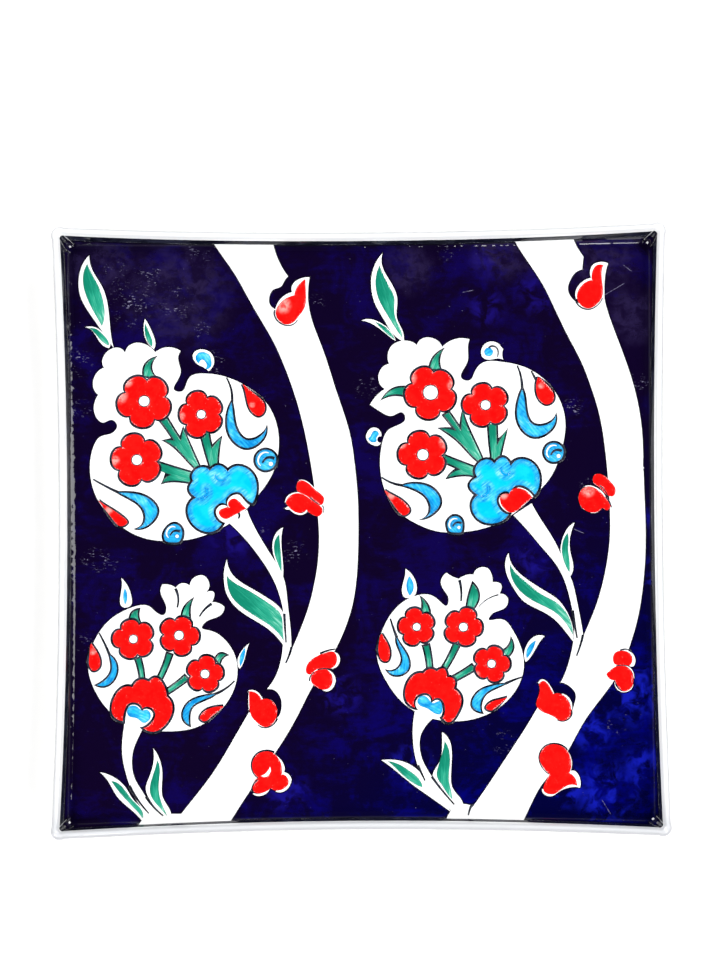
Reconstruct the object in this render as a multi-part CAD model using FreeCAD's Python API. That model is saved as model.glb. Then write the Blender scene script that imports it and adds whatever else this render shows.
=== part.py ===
"""Square hand painted pomegranate plate: clay body, white coat, foot ring and every layer of paint.

The plate lies on its foot ring, face up.  The origin is the middle of the underside of the foot ring,
+X runs along the lower edge of the picture to its right and +Y runs up the picture.
Every painted shape is drawn flat in plate millimetres, trimmed against the shapes that lie over it,
and raised into a thin solid that sits on the white coat.
"""
import FreeCAD, Part
import math
import os

# ---------------------------------------------------------------- driving dimensions, millimetres
half_field = 121.5          # middle of the plate to the painted corner, along X and along Y
edge_bow = {"right": 2.2, "top": 2.5, "left": 2.9, "bottom": 3.9}   # how far each edge bends inwards
face_height = 11.0          # flat painted face above the table
rim_run = 4.0               # width of the upturned rim, from the crease to the painted edge
border_line = 1.2           # width of the dark line round the painted field
rim_rise = 3.4              # height gained over that width at mid edge
corner_lift = 4.6           # extra height of the painted corner over the mid edge
crease_corner = 3.4         # corner radius of the flat face
border_corner = 2.6         # corner radius of the cobalt ground
painted_corner = 1.9        # corner radius of the painted edge
lip_run = 3.5               # white lip outside the painted edge
lip_rise = 1.9              # top of the lip above the painted edge
lip_corner = 5.2            # corner radius of the lip
coat_thickness = 0.45       # white slip and glaze over the face and round the lip
under_height = 4.0          # underside of the plate above the table, which is the foot's height
foot_half = 90.0            # outer half width of the foot ring
foot_width = 7.5
foot_corner = 26.0

outline_width = 0.95        # brush line round flowers and blossoms
fine_line = 0.75            # brush line round stalks and drops
hook_line = 0.9             # brush line round the long hooks
eye_line = 0.35             # brush line round the bare eye of a flower
branch_line = 1.1           # brush stroke between a leaf and its stem
tail_line = 1.2             # brush line that runs on from a hook to the skin of the fruit
line_taper = 0.45           # share of its width that a bare line loses on the way to its far end
bud_spread = 0.3            # how far the red of a bud runs out under its shadow lines
paint = {"cobalt": 0.22, "line": 0.30, "green": 0.28, "turquoise": 0.34, "red": 0.50}
sharp_reach = 1.8           # an outline runs past a sharp point by this many line widths at most
notch_reach = 4.0           # and into a narrow notch by this many
smallest_patch = 0.4        # trimmed scraps below this many square millimetres are dropped
trunk_places = (-30.0, 78.0)    # the two white trunks, which part the cobalt ground into three along X
overlap = 0.6               # paint over the rim begins this far inside the crease
clearance = 0.02            # between the cobalt ground and the dark border line
sky = 40.0                  # well above the plate

Z = FreeCAD.Vector(0, 0, 1)
parts = {}                  # node name -> list of solids


def vec(point, height=0.0):
    return FreeCAD.Vector(point[0], point[1], height)


# ---------------------------------------------------------------- rings of the plate
def edge_place(side, along, half):
    """Point of one bowed edge; along runs from -half to half in the turning direction."""
    out = half - edge_bow[side] * (1 - (along / half) ** 2)
    return {"right": (out, along), "top": (-along, out),
            "left": (-out, -along), "bottom": (along, -out)}[side]


def ring(inset, height, lift, radius):
    """Closed wire round the plate: four bowed edges and four rounded corners, raised at the corners."""
    half = half_field - inset

    def raised(point):
        share = abs(point[0] * point[1]) / half ** 2
        return vec(point, height + lift * share ** 3)

    edges = []
    sides = ("right", "top", "left", "bottom")
    reach = half - radius
    for side, following in zip(sides, sides[1:] + sides[:1]):
        stops = [reach * k / 4 for k in range(-4, 5)]
        curve = Part.BSplineCurve()
        curve.interpolate([raised(edge_place(side, stop, half)) for stop in stops])
        edges.append(curve.toShape())
        start = edge_place(side, reach, half)
        finish = edge_place(following, -reach, half)
        corner = edge_place(side, half, half)
        middle = [0.5 * corner[k] + 0.25 * (start[k] + finish[k]) for k in (0, 1)]
        pull = 0.146            # brings the middle of the corner onto the tangent arc
        middle = [middle[k] + pull * (corner[k] - 0.5 * (start[k] + finish[k])) for k in (0, 1)]
        arc = Part.Arc(raised(start), raised(middle), raised(finish))
        edges.append(arc.toShape())
    return Part.Wire(edges)


def upper_rings(skin):
    """Rings from the crease of the flat face over the lip and under it; skin pulls them all inwards."""
    edge = face_height + rim_rise
    lip = edge + lip_rise
    out = lip_run - skin
    return [
        ring(rim_run, face_height - skin, 0.0, crease_corner),
        ring(0.62 * rim_run, face_height + 0.13 * rim_rise - skin, 0.20 * corner_lift, 3.0),
        ring(border_line, face_height + 0.47 * rim_rise - skin, 0.62 * corner_lift, border_corner),
        ring(0.0, edge - skin, corner_lift, painted_corner),
        ring(-0.28 * lip_run, lip - 0.4 - skin, 1.04 * corner_lift, 0.55 * lip_corner),
        ring(-0.58 * lip_run, lip - skin, 1.05 * corner_lift, 0.72 * lip_corner),
        ring(-0.88 * out, lip - 0.7 - 0.8 * skin, 1.04 * corner_lift, 0.92 * lip_corner),
        ring(-out, lip - 2.1, corner_lift, lip_corner),
        ring(-0.86 * out, lip - 3.5, 0.96 * corner_lift, lip_corner),
        ring(-0.30 * out, lip - 4.9 + 0.5 * skin, 0.90 * corner_lift, lip_corner),
    ]


def under_rings():
    """Rings of the bare underside, from the end of the coat to the flat inside the foot."""
    return [
        ring(3.0, 7.6, 0.24 * corner_lift, 6.2),
        ring(9.0, 5.6, 0.06 * corner_lift, 11.0),
        ring(17.0, 4.5, 0.0, 19.0),
        ring(25.0, under_height, 0.0, 27.0),
    ]


def band(rings):
    """Closed hollow band whose section runs through the rings and back to the first."""
    faces = []
    for lower, upper in zip(rings, rings[1:] + rings[:1]):
        for first, second in zip(lower.Edges, upper.Edges):
            faces.append(Part.makeRuledSurface(first, second))
    shell = Part.makeShell(faces)
    shell.sewShape()
    solid = Part.makeSolid(shell)
    solid.fix(0.001, 0.001, 0.001)
    return solid if solid.Volume > 0 else solid.reversed()


def rounded_square(half, radius, height):
    box = [(half, -half), (half, half), (-half, half), (-half, -half)]
    corners = []
    for k in range(4):
        before, here, after = box[k - 1], box[k], box[(k + 1) % 4]
        towards = [((p[0] - here[0]) / (2 * half), (p[1] - here[1]) / (2 * half)) for p in (before, after)]
        start = [here[i] + radius * towards[0][i] for i in (0, 1)]
        finish = [here[i] + radius * towards[1][i] for i in (0, 1)]
        slack = radius * (1 - math.sqrt(0.5))
        middle = [here[i] + slack * (towards[0][i] + towards[1][i]) for i in (0, 1)]
        corners.append((start, middle, finish))
    edges = []
    for k in range(4):
        start, middle, finish = corners[k]
        edges.append(Part.Arc(vec(start, height), vec(middle, height), vec(finish, height)).toShape())
        edges.append(Part.LineSegment(vec(finish, height), vec(corners[(k + 1) % 4][0], height)).toShape())
    return Part.Wire(edges)


def foot_ring():
    """Low wall under the plate, its lower edge rounded off on both sides."""
    tread = 0.9             # how far the rounding eats into each side at the table
    outer = Part.makeLoft([rounded_square(foot_half - tread, foot_corner, 0.0),
                           rounded_square(foot_half, foot_corner, 1.2),
                           rounded_square(foot_half + 0.8, foot_corner, under_height)], True, True)
    inner_half = foot_half - foot_width
    inner = Part.makeLoft([rounded_square(inner_half + tread, foot_corner - 6, 0.0),
                           rounded_square(inner_half, foot_corner - 6, 1.2),
                           rounded_square(inner_half - 0.8, foot_corner - 6, under_height)], True, True)
    return outer.cut(inner)


# ---------------------------------------------------------------- flat shapes
def curve_through(points):
    if len(points) == 2:
        return Part.LineSegment(vec(points[0]), vec(points[1]))
    curve = Part.BSplineCurve()
    if points[0] == points[-1]:
        curve.interpolate([vec(p) for p in points[:-1]], True)
    else:
        curve.interpolate([vec(p) for p in points])
    return curve


def flat(outline):
    """Planar face of an outline, which is a list of curves, each a list of points."""
    return Part.Face(Part.Wire([curve_through(piece).toShape() for piece in outline]))


def grow(outline, width):
    """The outline moved outwards by width, keeping its sharp points sharp."""
    corners = [p for piece in outline for p in piece[:-1]]
    area = sum(a[0] * b[1] - b[0] * a[1] for a, b in zip(corners, corners[1:] + corners[:1]))
    sign = 1 if area > 0 else -1
    normals = []
    for piece in outline:
        curve = curve_through(piece)
        row = []
        for place in piece:
            tangent = curve.tangent(curve.parameter(vec(place)))[0]
            row.append((sign * tangent.y, -sign * tangent.x))
        normals.append(row)
    if len(outline) == 1:
        piece = outline[0]
        moved = [(p[0] + width * n[0], p[1] + width * n[1]) for p, n in zip(piece[:-1], normals[0])]
        return [moved + moved[:1]]
    joints = []
    for k, piece in enumerate(outline):
        first, last = normals[k - 1][-1], normals[k][0]
        total = (first[0] + last[0], first[1] + last[1])
        size = math.hypot(*total) or 1.0
        turn = sign * (first[0] * last[1] - first[1] * last[0])
        reach = width * min(sharp_reach if turn > 0 else notch_reach, 2 / size)
        joints.append((piece[0][0] + reach * total[0] / size, piece[0][1] + reach * total[1] / size))
    result = []
    for k, piece in enumerate(outline):
        inner = [(p[0] + width * n[0], p[1] + width * n[1]) for p, n in zip(piece[1:-1], normals[k][1:-1])]
        result.append([joints[k]] + inner + [joints[(k + 1) % len(outline)]])
    return result


def ribbon(path, widths):
    """Brush stroke along a path; widths are its full widths at the points of the path."""
    curve = curve_through(path)
    left, right = [], []
    for place, width in zip(path, widths):
        tangent = curve.tangent(curve.parameter(vec(place)))[0]
        left.append((place[0] - tangent.y * width / 2, place[1] + tangent.x * width / 2))
        right.append((place[0] + tangent.y * width / 2, place[1] - tangent.x * width / 2))
    return [left, [left[-1], right[-1]], right[::-1], [right[0], left[0]]]


def almond(tip, base, left, right):
    """Leaf with two pointed ends; left and right are points that its two edges pass through."""
    return [[tip, *left, base], [base, *right, tip]]


def flower_outline(centre, radius, turn, change=0.0):
    """Five round petals; change moves the whole outline outwards."""
    cleft = 0.76
    steps = []
    for k in range(5):
        uneven = 1 + 0.035 * math.sin(3.1 * k + centre[0])
        angle = math.radians(turn + 72 * k)
        tip = radius * uneven + change
        half_angle = math.radians(36)
        notch = cleft * radius + change
        shoulder = (0.62 * tip + 0.38 * notch) * 1.03
        steps.append([
            (notch, angle - half_angle), (shoulder, angle - 0.62 * half_angle), (tip, angle),
            (shoulder, angle + 0.62 * half_angle), (notch, angle + half_angle)])
    return [[(centre[0] + r * math.cos(a), centre[1] + r * math.sin(a)) for r,
             a in petal] for petal in steps]


def ring_outline(centre, radius):
    """Closed round outline of eight points."""
    points = [(centre[0] + radius * math.cos(math.pi * k / 4), centre[1] + radius * math.sin(math.pi * k / 4))
              for k in range(8)]
    return [points + points[:1]]


# ---------------------------------------------------------------- painting, upper strokes first
strokes = []                # (node of the fill, node of its outline, outline curves, outline width)
reserves = []               # outlines kept free of cobalt, where the white coat shows
curl_widths = (0.5, 0.8, 0.7, 0.4)     # darker strokes inside the blossoms


def motif(group, colour, outline, line=outline_width):
    """A patch of one colour with a brush line round it; colour None leaves the coat bare inside."""
    fill = f"{group}_{colour}" if colour else None
    strokes.append((fill, f"{group}_outlines", outline, line))


def flower(group, centre, radius, turn, eye, colour="red_flowers"):
    motif(group, None, ring_outline(centre, eye), eye_line)
    line = outline_width / 2
    strokes.append((f"{group}_{colour}", f"{group}_outlines",
                    (flower_outline(centre, radius, turn, -line), flower_outline(centre, radius, turn,
                                        line)), line))


def stalk(group, head, root, width):
    """Short plain flower stalk of the small pomegranates."""
    middle = (0.5 * (head[0] + root[0]) + 0.3, 0.5 * (head[1] + root[1]))
    shape = ribbon([head, middle, root], [width, 0.86 * width, 0.8 * width])
    motif(group, "green_stalks", shape, fine_line)


def line(group, path, width=tail_line):
    """Bare brush line, thin at its far end."""
    widths = [width * (1 - line_taper * k / (len(path) - 1)) for k in range(len(path))]
    strokes.append((f"{group}_outlines", None, ribbon(path, widths), 0.0))


def curl_marks(centre, radius):
    """Dark comma, white crescent and white spot inside a round curl."""
    def at(share, degrees):
        angle = math.radians(degrees)
        return (centre[0] + share * radius * math.cos(angle), centre[1] + share * radius * math.sin(angle))
    crescent = ribbon([at(0.74, degrees) for degrees in (66, 120, 175, 228)], (0.3, 0.65, 0.65, 0.3))
    return {"strokes": [([at(0.85, 10), at(0.25, 60), at(0.42, 220)], 0.3 * radius)],
            "hollows": [crescent, ring_outline(at(0.62, -38), 0.2 * radius)]}


def swirl(group, p):
    """Turquoise curl: a dark stroke, a dot in a white hollow, and the disc that they lie on."""
    for path, width in p.get("strokes", []):
        line(group, path, width)
    for shape in p.get("dots", []):
        motif(group, "turquoise_hooks", shape, 0.0)
    for shape in p.get("hollows", []):
        motif(group, None, shape, 0.0)
    motif(group, "turquoise_hooks", p["disc"], outline_width if "white" not in p else 0.0)
    if "white" in p:
        reserves.append(p["white"])


def big_pomegranate(group, p):
    reserves.append(p["body"])
    for centre, radius, turn, eye in p["flowers"]:
        flower(group, centre, radius, turn, eye)
    motif(group, "red_calyx", p["calyx"], 0.0)
    for path in p["curls"]:
        strokes.append((f"{group}_blue_curls", None, ribbon(path, curl_widths), 0.0))
    motif(group, "turquoise_blossom", p["blossom"])
    for shape in p["sepals"] + p["stalks"]:
        motif(group, "green_stalks", shape, fine_line)
    for shape in p["hooks"]:
        motif(group, "turquoise_hooks", shape, hook_line)
    for shape in p["drops"]:
        motif(group, "red_drops", shape, fine_line)
    for path in p["tails"]:
        line(group, path)
    for shapes in p["swirls"]:
        swirl(group, shapes)


def small_pomegranate(group, p):
    reserves.append(p["body"])
    for centre, radius, turn, eye in p["flowers"]:
        flower(group, centre, radius, turn, eye)
    motif(group, "turquoise_calyx", p["calyx"], 0.0)
    motif(group, "red_blossom", p["blossom"])
    for shape in p["sepals"]:
        motif(group, "green_stalks", shape, fine_line)
    for head, root, width in p["stalks"]:
        stalk(group, head, root, width)
    for shape in p["hooks"]:
        motif(group, "turquoise_hooks", shape, fine_line)
    for shape in p["drops"]:
        motif(group, "red_drops", shape, fine_line)
    for path in p["tails"]:
        line(group, path)
    for envelope, inside in p["flames"]:
        reserves.append(envelope)
        motif(group, "turquoise_hooks", inside, 0.0)


def leaves(group, pairs):
    """Leaves on the cobalt: each is a white shape with a green one inside."""
    for envelope, inside in pairs:
        reserves.append(envelope)
        motif(group, "green_leaves", inside, 0.0)


def buds(group, shapes, whites, edges, hollows, shadows):
    """Red buds on the trunk.

    whites are patches kept white behind the buds and edges are thin white lines beside them; hollows are
    white marks inside a bud, and shadows are dark strokes along it.
    """
    for shape in hollows:
        motif(group, None, shape, 0.0)
    for path, width in shadows:
        line(group, path, width)
    for shape in shapes:
        reserves.append(shape)
        motif(group, "red_buds", grow(shape, bud_spread), 0.0)
    reserves.extend(whites)
    for path, width in edges:
        reserves.append(ribbon(path,
                               [width * (0.5 if k in (0, len(path) - 1) else 1.0) for k in range(len(path))]))


# ---------------------------------------------------------------- the picture
def draw_left():
    trunk_left = [(-61, 121.5), (-55, 113), (-50, 105.5), (-45, 96.3), (-40, 87.5), (-35, 78.7),
                  (-30, 67.2),
                  (-25.5, 54), (-22, 40), (-19.8, 28), (-17.8, 14), (-16.6, 0), (-17, -11), (-18.6, -21),
                  (-21, -30.5), (-24.5, -40), (-28, -48), (-33, -57), (-37.4, -63.7)]
    left_hollow = [(-37.4, -63.7), (-34, -64.8), (-32.2, -68), (-32.1, -71.6), (-33.2, -74.8), (-36, -76.4),
                   (-40.6, -75.6), (-45.2, -73)]
    trunk_root = [(-45.2, -73), (-48, -77.8), (-53, -86.5), (-60, -97.8), (-67, -107), (-73, -114.5),
                  (-78, -121.5)]
    trunk_foot = [(-78, -121.5), (-55, -121.5)]
    trunk_right = [(-55, -121.5), (-52, -116), (-45, -105), (-37, -93), (-31, -84), (-25, -73.5),
                   (-19, -62),
                   (-15, -56), (-10, -47.5), (-6.5, -40), (-3, -29), (-1.2, -16), (-0.6, 0), (-0.9, 16),
                   (-2, 28), (-3.6, 39), (-6.5, 49.5), (-10, 60), (-13.5, 71.5), (-17, 81), (-19.4, 88),
                   (-20.4, 93)]
    bud_hollow = [(-20.4, 93), (-24, 92.4), (-29, 90.8), (-34, 91.6), (-36.2, 93.6), (-36.4, 97),
                  (-34.8, 99.8),
                  (-31.8, 101), (-30.4, 103.2), (-28.8, 105.2)]
    trunk_top = [(-28.8, 105.2), (-32.5, 111.5), (-35.3, 121.5)]
    reserves.append([trunk_left, left_hollow, trunk_root, trunk_foot, trunk_right, bud_hollow, trunk_top,
                     [(-35.3, 121.5), (-61, 121.5)]])
    root_flare = [[(-90, -119), (-86.5, -114.6), (-84, -113.2)], [(-84, -113.2), (-77, -114),
                                        (-70, -113.9)],
                  [(-70, -113.9), (-66, -119)], [(-66, -119), (-90, -119)]]
    reserves.append(root_flare)

    # big pomegranate
    body = [
        [(-72.6, 74.8), (-78, 76.4), (-83, 74.4)],
        [(-83, 74.4), (-86.5, 77.4), (-91, 78.3), (-94.2, 76.6), (-95.2, 74.2)],
        [(-95.2, 74.2), (-99, 76.4), (-103, 74.3), (-104.6, 70.5), (-103.8, 68.2)],
        [(-103.8, 68.2), (-107.2, 65.5), (-108.4, 61.5), (-106.2, 57)],
        [(-106.2, 57), (-108, 51.5), (-106.8, 47.5), (-104.2, 45.6), (-101, 46.7), (-98.6, 44.7),
         (-100.4, 41.4), (-105, 40), (-108.6, 34.5), (-109.6, 26), (-108, 17.5), (-103, 9), (-95.5, 2),
         (-87, -2), (-78, -3.1), (-68, -2.3), (-60, 0.3), (-50, 6), (-42, 14.5), (-36, 23), (-33, 33),
         (-33.5, 44), (-38, 53.5), (-46, 60.2), (-55, 64.3), (-63, 65.5), (-68.5, 64.4), (-70.5, 61),
         (-72, 58.3), (-75.3, 58.9), (-74.4, 62), (-72.6, 66.5), (-73.5, 70.5), (-72.6, 74.8)]]
    blossom = [
        [(-43.6, 12.2), (-41.8, 18), (-43.3, 24), (-48.5, 27.4), (-53.6, 25.2)],
        [(-53.6, 25.2), (-57.4, 27.8), (-60.9, 25.6)],
        [(-60.9, 25.6), (-64.5, 27), (-67.8, 24.6), (-67.6, 21.4)],
        [(-67.6, 21.4), (-69.3, 18.3), (-66.4, 14.6)],
        [(-66.4, 14.6), (-69.9, 10), (-68, 4), (-62, 0.5), (-56, 3.8)],
        [(-56, 3.8), (-58.5, 6), (-59.2, 9.6), (-57, 12.1), (-54.4, 11.9)],
        [(-54.4, 11.9), (-53, 15.6), (-49, 16.6), (-46, 13.8), (-43.6, 12.2)]]
    calyx = [[(-53.2, 10.8), (-52.8, 13.4), (-51.2, 14.1), (-48.6, 12.6), (-46, 10)],
             [(-46, 10), (-49, 8.4), (-52, 6.7), (-54.4, 5.8), (-56.7, 7), (-57.2, 8.9), (-55.6, 10.1),
              (-53.2, 10.8)]]
    big_pomegranate("left_big_pomegranate", {
        "body": body, "blossom": blossom, "calyx": calyx,
        "flowers": [((-87.5, 54.3), 11.3, 47, 2.1), ((-64.3, 48.7), 9.6, 35, 1.7),
                    ((-90.5, 30.2), 10.9, 31, 2.0)],
        "sepals": [[[(-87.5, 64.5), (-87, 69), (-83, 72.2)], [(-83, 72.2), (-84.9, 68.5), (-83, 64.2)],
                    [(-83, 64.2), (-87.5, 64.5)]]],
        "curls": [[(-58.5, 23.8), (-57.6, 22), (-56, 21.5), (-54.4, 22)],
                  [(-62.6, 18.4), (-62.1, 16.3), (-63, 14.5), (-65, 14)]],
        "stalks": [
            [[(-81, 46.4), (-78, 42.4), (-75.2, 38)], [(-75.2, 38), (-77.2, 38.2), (-79.3, 38)],
             [(-79.3, 38), (-75.8, 36), (-71.5, 31.8), (-66.8, 26.8)], [(-66.8, 26.8), (-64.9, 26.8)],
             [(-64.9, 26.8), (-67.8, 33.4), (-71.6, 42.8)], [(-71.6, 42.8), (-72.2, 40.2), (-72.6, 38)],
             [(-72.6, 38), (-75.4, 42.4), (-78.6, 47.8)], [(-78.6, 47.8), (-81, 46.4)]],
            [[(-64.4, 40.6), (-63, 35), (-60.6, 27)], [(-60.6, 27), (-57.8, 27.2)],
             [(-57.8, 27.2), (-57.6, 32), (-56.3, 39)], [(-56.3, 39), (-58.6, 36.6), (-60.1, 34.8)],
             [(-60.1, 34.8), (-60.9, 38.2), (-61.5, 42)], [(-61.5, 42), (-64.4, 40.6)]],
            [[(-81.6, 29), (-76, 27.2), (-67, 24.4)], [(-67, 24.4), (-66.6, 20.6)],
             [(-66.6, 20.6), (-71, 21.2), (-76, 21.6), (-80, 20.9)], [(-80, 20.9), (-79, 22.6),
                                        (-76.6, 24)],
             [(-76.6, 24), (-79, 24.8), (-81.6, 25.8)], [(-81.6, 25.8), (-81.6, 29)]]],
        "hooks": [
            [[(-52, 53.5), (-53.8, 46), (-52, 38.8), (-46, 34.8), (-40.5, 37.2), (-37.8, 43)],
             [(-37.8, 43), (-41.5, 38.8), (-46, 38.1), (-49.8, 42), (-51.3, 48), (-52, 53.5)]],
            [[(-98, 16.9), (-91.5, 16.4), (-85, 13.8), (-82.2, 9.5), (-84, 5.3), (-90.5, 2.1)],
             [(-90.5, 2.1), (-87.2, 5.5), (-88, 10), (-92, 13.8), (-98, 16.9)]]],
        "tails": [[(-51.8, 53.5), (-52, 58.5), (-54, 63.7)], [(-98, 16.9), (-103, 19.4), (-108.3, 22.4)]],
        "drops": [[[(-47.4, 60.8), (-45.6, 54), (-43.5, 49.3), (-40.8, 47.9), (-38.6, 49.8), (-38.7, 53),
                    (-42.5, 56.8),
                    (-47.4, 60.8)]],
                  [[(-105.6, 13.4), (-101, 10.3), (-96.3, 7), (-94.4, 4.6), (-96, 3.3), (-101, 6.8),
                    (-105.6, 13.4)]]],
        "swirls": [
            {**curl_marks((-38.1, 29.8), 4.2),
             "disc": ring_outline((-38.1, 29.8), 4.2)},
            {**curl_marks((-75.9, 0.2), 3.5),
             "disc": [[(-79.6, -1), (-78.6, 1.7), (-75.2, 3.9), (-72.7, 2.3), (-72.2, -1), (-73.4, -3.3),
                       (-76.5, -3.6),
                       (-78.9, -3), (-79.6, -1)]]},
            {"white": [[(-61.6, 66.7), (-63, 67.9), (-65.4, 69), (-67.2, 71), (-67.7, 73.2), (-66.3, 74.9),
                        (-63, 75.3),
                        (-60.2, 73.8), (-59, 70.8), (-59.8, 68), (-61.6, 66.7)]],
             "hollows": [[[(-65.2, 69.4), (-63.5, 71.1), (-62.5, 70.2), (-62.6, 67.4)], [(-62.6, 67.4),
                                        (-65.2, 69.4)]]],
             "disc": [[(-66.5, 72.4), (-65.5, 73.9), (-63, 74.2), (-60.9, 73), (-60.1, 70.4), (-60.5, 68),
                       (-62, 67.3),
                       (-63.6, 68.4), (-65.4, 69.7), (-66.5, 72.4)]]}]})

    # small pomegranate
    body = [
        [(-80.2, -20.8), (-77, -21), (-74.8, -22.2)], [(-74.8, -22.2), (-72.5, -20.4), (-69, -21.3)],
        [(-69, -21.3), (-67.2, -18), (-63.8, -17.2), (-61.3, -20), (-62.5, -24)],
        [(-62.5, -24), (-59.6, -23.9), (-60, -28.1)], [(-60, -28.1), (-57.5, -28.5), (-55, -30.2)],
        [(-55, -30.2), (-59.5, -34.8), (-62.8, -36.3), (-64.2, -38.6), (-61.5, -39.6), (-56.5, -42),
         (-51.5, -48.3), (-49.8, -56), (-51.8, -65), (-57, -72.5), (-66, -78.8), (-78, -80.6), (-90, -79),
         (-100, -73.8), (-107, -65), (-110.3, -54.5), (-108, -44), (-102, -35.5), (-94, -30.6),
         (-85.5, -29.7), (-82.6, -32.2), (-79.6, -33.2), (-78.6, -30.5), (-80.3, -26), (-80.2, -20.8)]]
    blossom = [
        [(-96.3, -76.3), (-100.4, -73.5), (-99.6, -66.5), (-96, -62.6), (-92.4, -62.6)],
        [(-92.4, -62.6), (-89.5, -59.6), (-85.6, -60.4)],
        [(-85.6, -60.4), (-82.6, -58.8), (-80.2, -61), (-78.6, -66.3)],
        [(-78.6, -66.3), (-76.2, -70.5), (-78.2, -76.8), (-82.5, -80.4), (-88, -79.2)],
        [(-88, -79.2), (-84.2, -76.5), (-83.2, -73), (-85.2, -70.8), (-88.4, -71.3)],
        [(-88.4, -71.3), (-90.5, -69), (-93.5, -69), (-95.6, -72), (-96.3, -76.3)]]
    calyx = [[(-94.5, -72), (-93, -70.1), (-90.5, -70.5), (-88.5, -72), (-86.5, -71.8), (-85, -73.7),
              (-85.8, -76.2), (-88, -77.1), (-90.5, -75.3), (-93.3, -74.6), (-94.5, -72)]]
    small_pomegranate("left_small_pomegranate", {
        "body": body, "blossom": blossom, "calyx": calyx,
        "flowers": [((-92, -43), 8.6, 33, 1.6), ((-73.5, -41.6), 8.3, -3, 1.8),
                    ((-63, -57.4), 7.8, 8, 1.7)],
        "sepals": [
            [[(-93.3, -35), (-92.3, -32.2), (-90, -31.1)], [(-90, -31.1), (-90.2, -33.5), (-89.3, -36.3)],
             [(-89.3, -36.3), (-93.3, -35)]],
            [[(-72.2, -34.4), (-71.4, -30.8), (-68.1, -27)], [(-68.1, -27), (-69.4, -31), (-69.2, -34.6)],
             [(-69.2, -34.6), (-72.2, -34.4)]],
            [[(-58.6, -51.2), (-57, -49.3), (-54.4, -49.7)], [(-54.4, -49.7), (-56.4, -51.2), (-57, -53.2)],
             [(-57, -53.2), (-58.6, -51.2)]]],
        "stalks": [((-90.1, -51), (-88.4, -60), 1.8), ((-77.4, -49.3), (-81.6, -59.5), 1.9),
                   ((-70.6, -58.8), (-78, -64.2), 2.0)],
        "hooks": [
            [[(-101.6, -49.5), (-99, -53), (-98.9, -57), (-101.5, -61), (-106.8, -61.6)],
             [(-106.8, -61.6), (-103, -59.2), (-100.9, -56), (-100.8, -52.6), (-101.6, -49.5)]],
            [[(-59, -65.6), (-65, -66.8), (-70, -69.4), (-72, -74), (-69.4, -78)],
             [(-69.4, -78), (-69.6, -74.5), (-68.6, -71), (-65, -68.4), (-59, -65.6)]]],
        "tails": [[(-101.6, -49.5), (-103.5, -45), (-105.9, -40.4)], [(-59, -65.6), (-55, -63.6),
                                        (-51, -60.2)]],
        "drops": [[[(-108.8, -45), (-106.8, -48), (-105.4, -52), (-106.1, -54.8), (-108.4, -55.7),
                    (-109.8, -53.8),
                    (-109.8, -49.5), (-108.8, -45)]],
                  [[(-56, -70.5), (-60, -71), (-64.2, -73.4), (-65, -75.5), (-63.8, -76.5), (-60, -74.4),
                    (-56, -70.5)]]],
        "flames": [
            (almond((-96.9, -18), (-95.4, -30.2), [(-96.7, -22), (-97.3, -26), (-97, -29.2)],
                    [(-92.7, -28.6), (-92.8, -25.5), (-94.4, -21)]),
             almond((-95.4, -22.2), (-95.3, -29), [(-96.1, -25.5)], [(-94.4, -25.5)])),
            (almond((-45, -45), (-49, -55.4), [(-48.3, -48.3), (-49.8, -52)], [(-47.1, -52),
                                        (-46.2, -48.5)]),
             almond((-46.6, -46.6), (-48.7, -54.5), [(-48.9, -50.8)], [(-47.1, -50.8)]))]})
    line("left_small_pomegranate", [(-74.9, -22.5), (-73.8, -26), (-74.2, -30.3)])
    line("left_small_pomegranate", [(-60.2, -28.8), (-63, -31), (-65.2, -34)])

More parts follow.
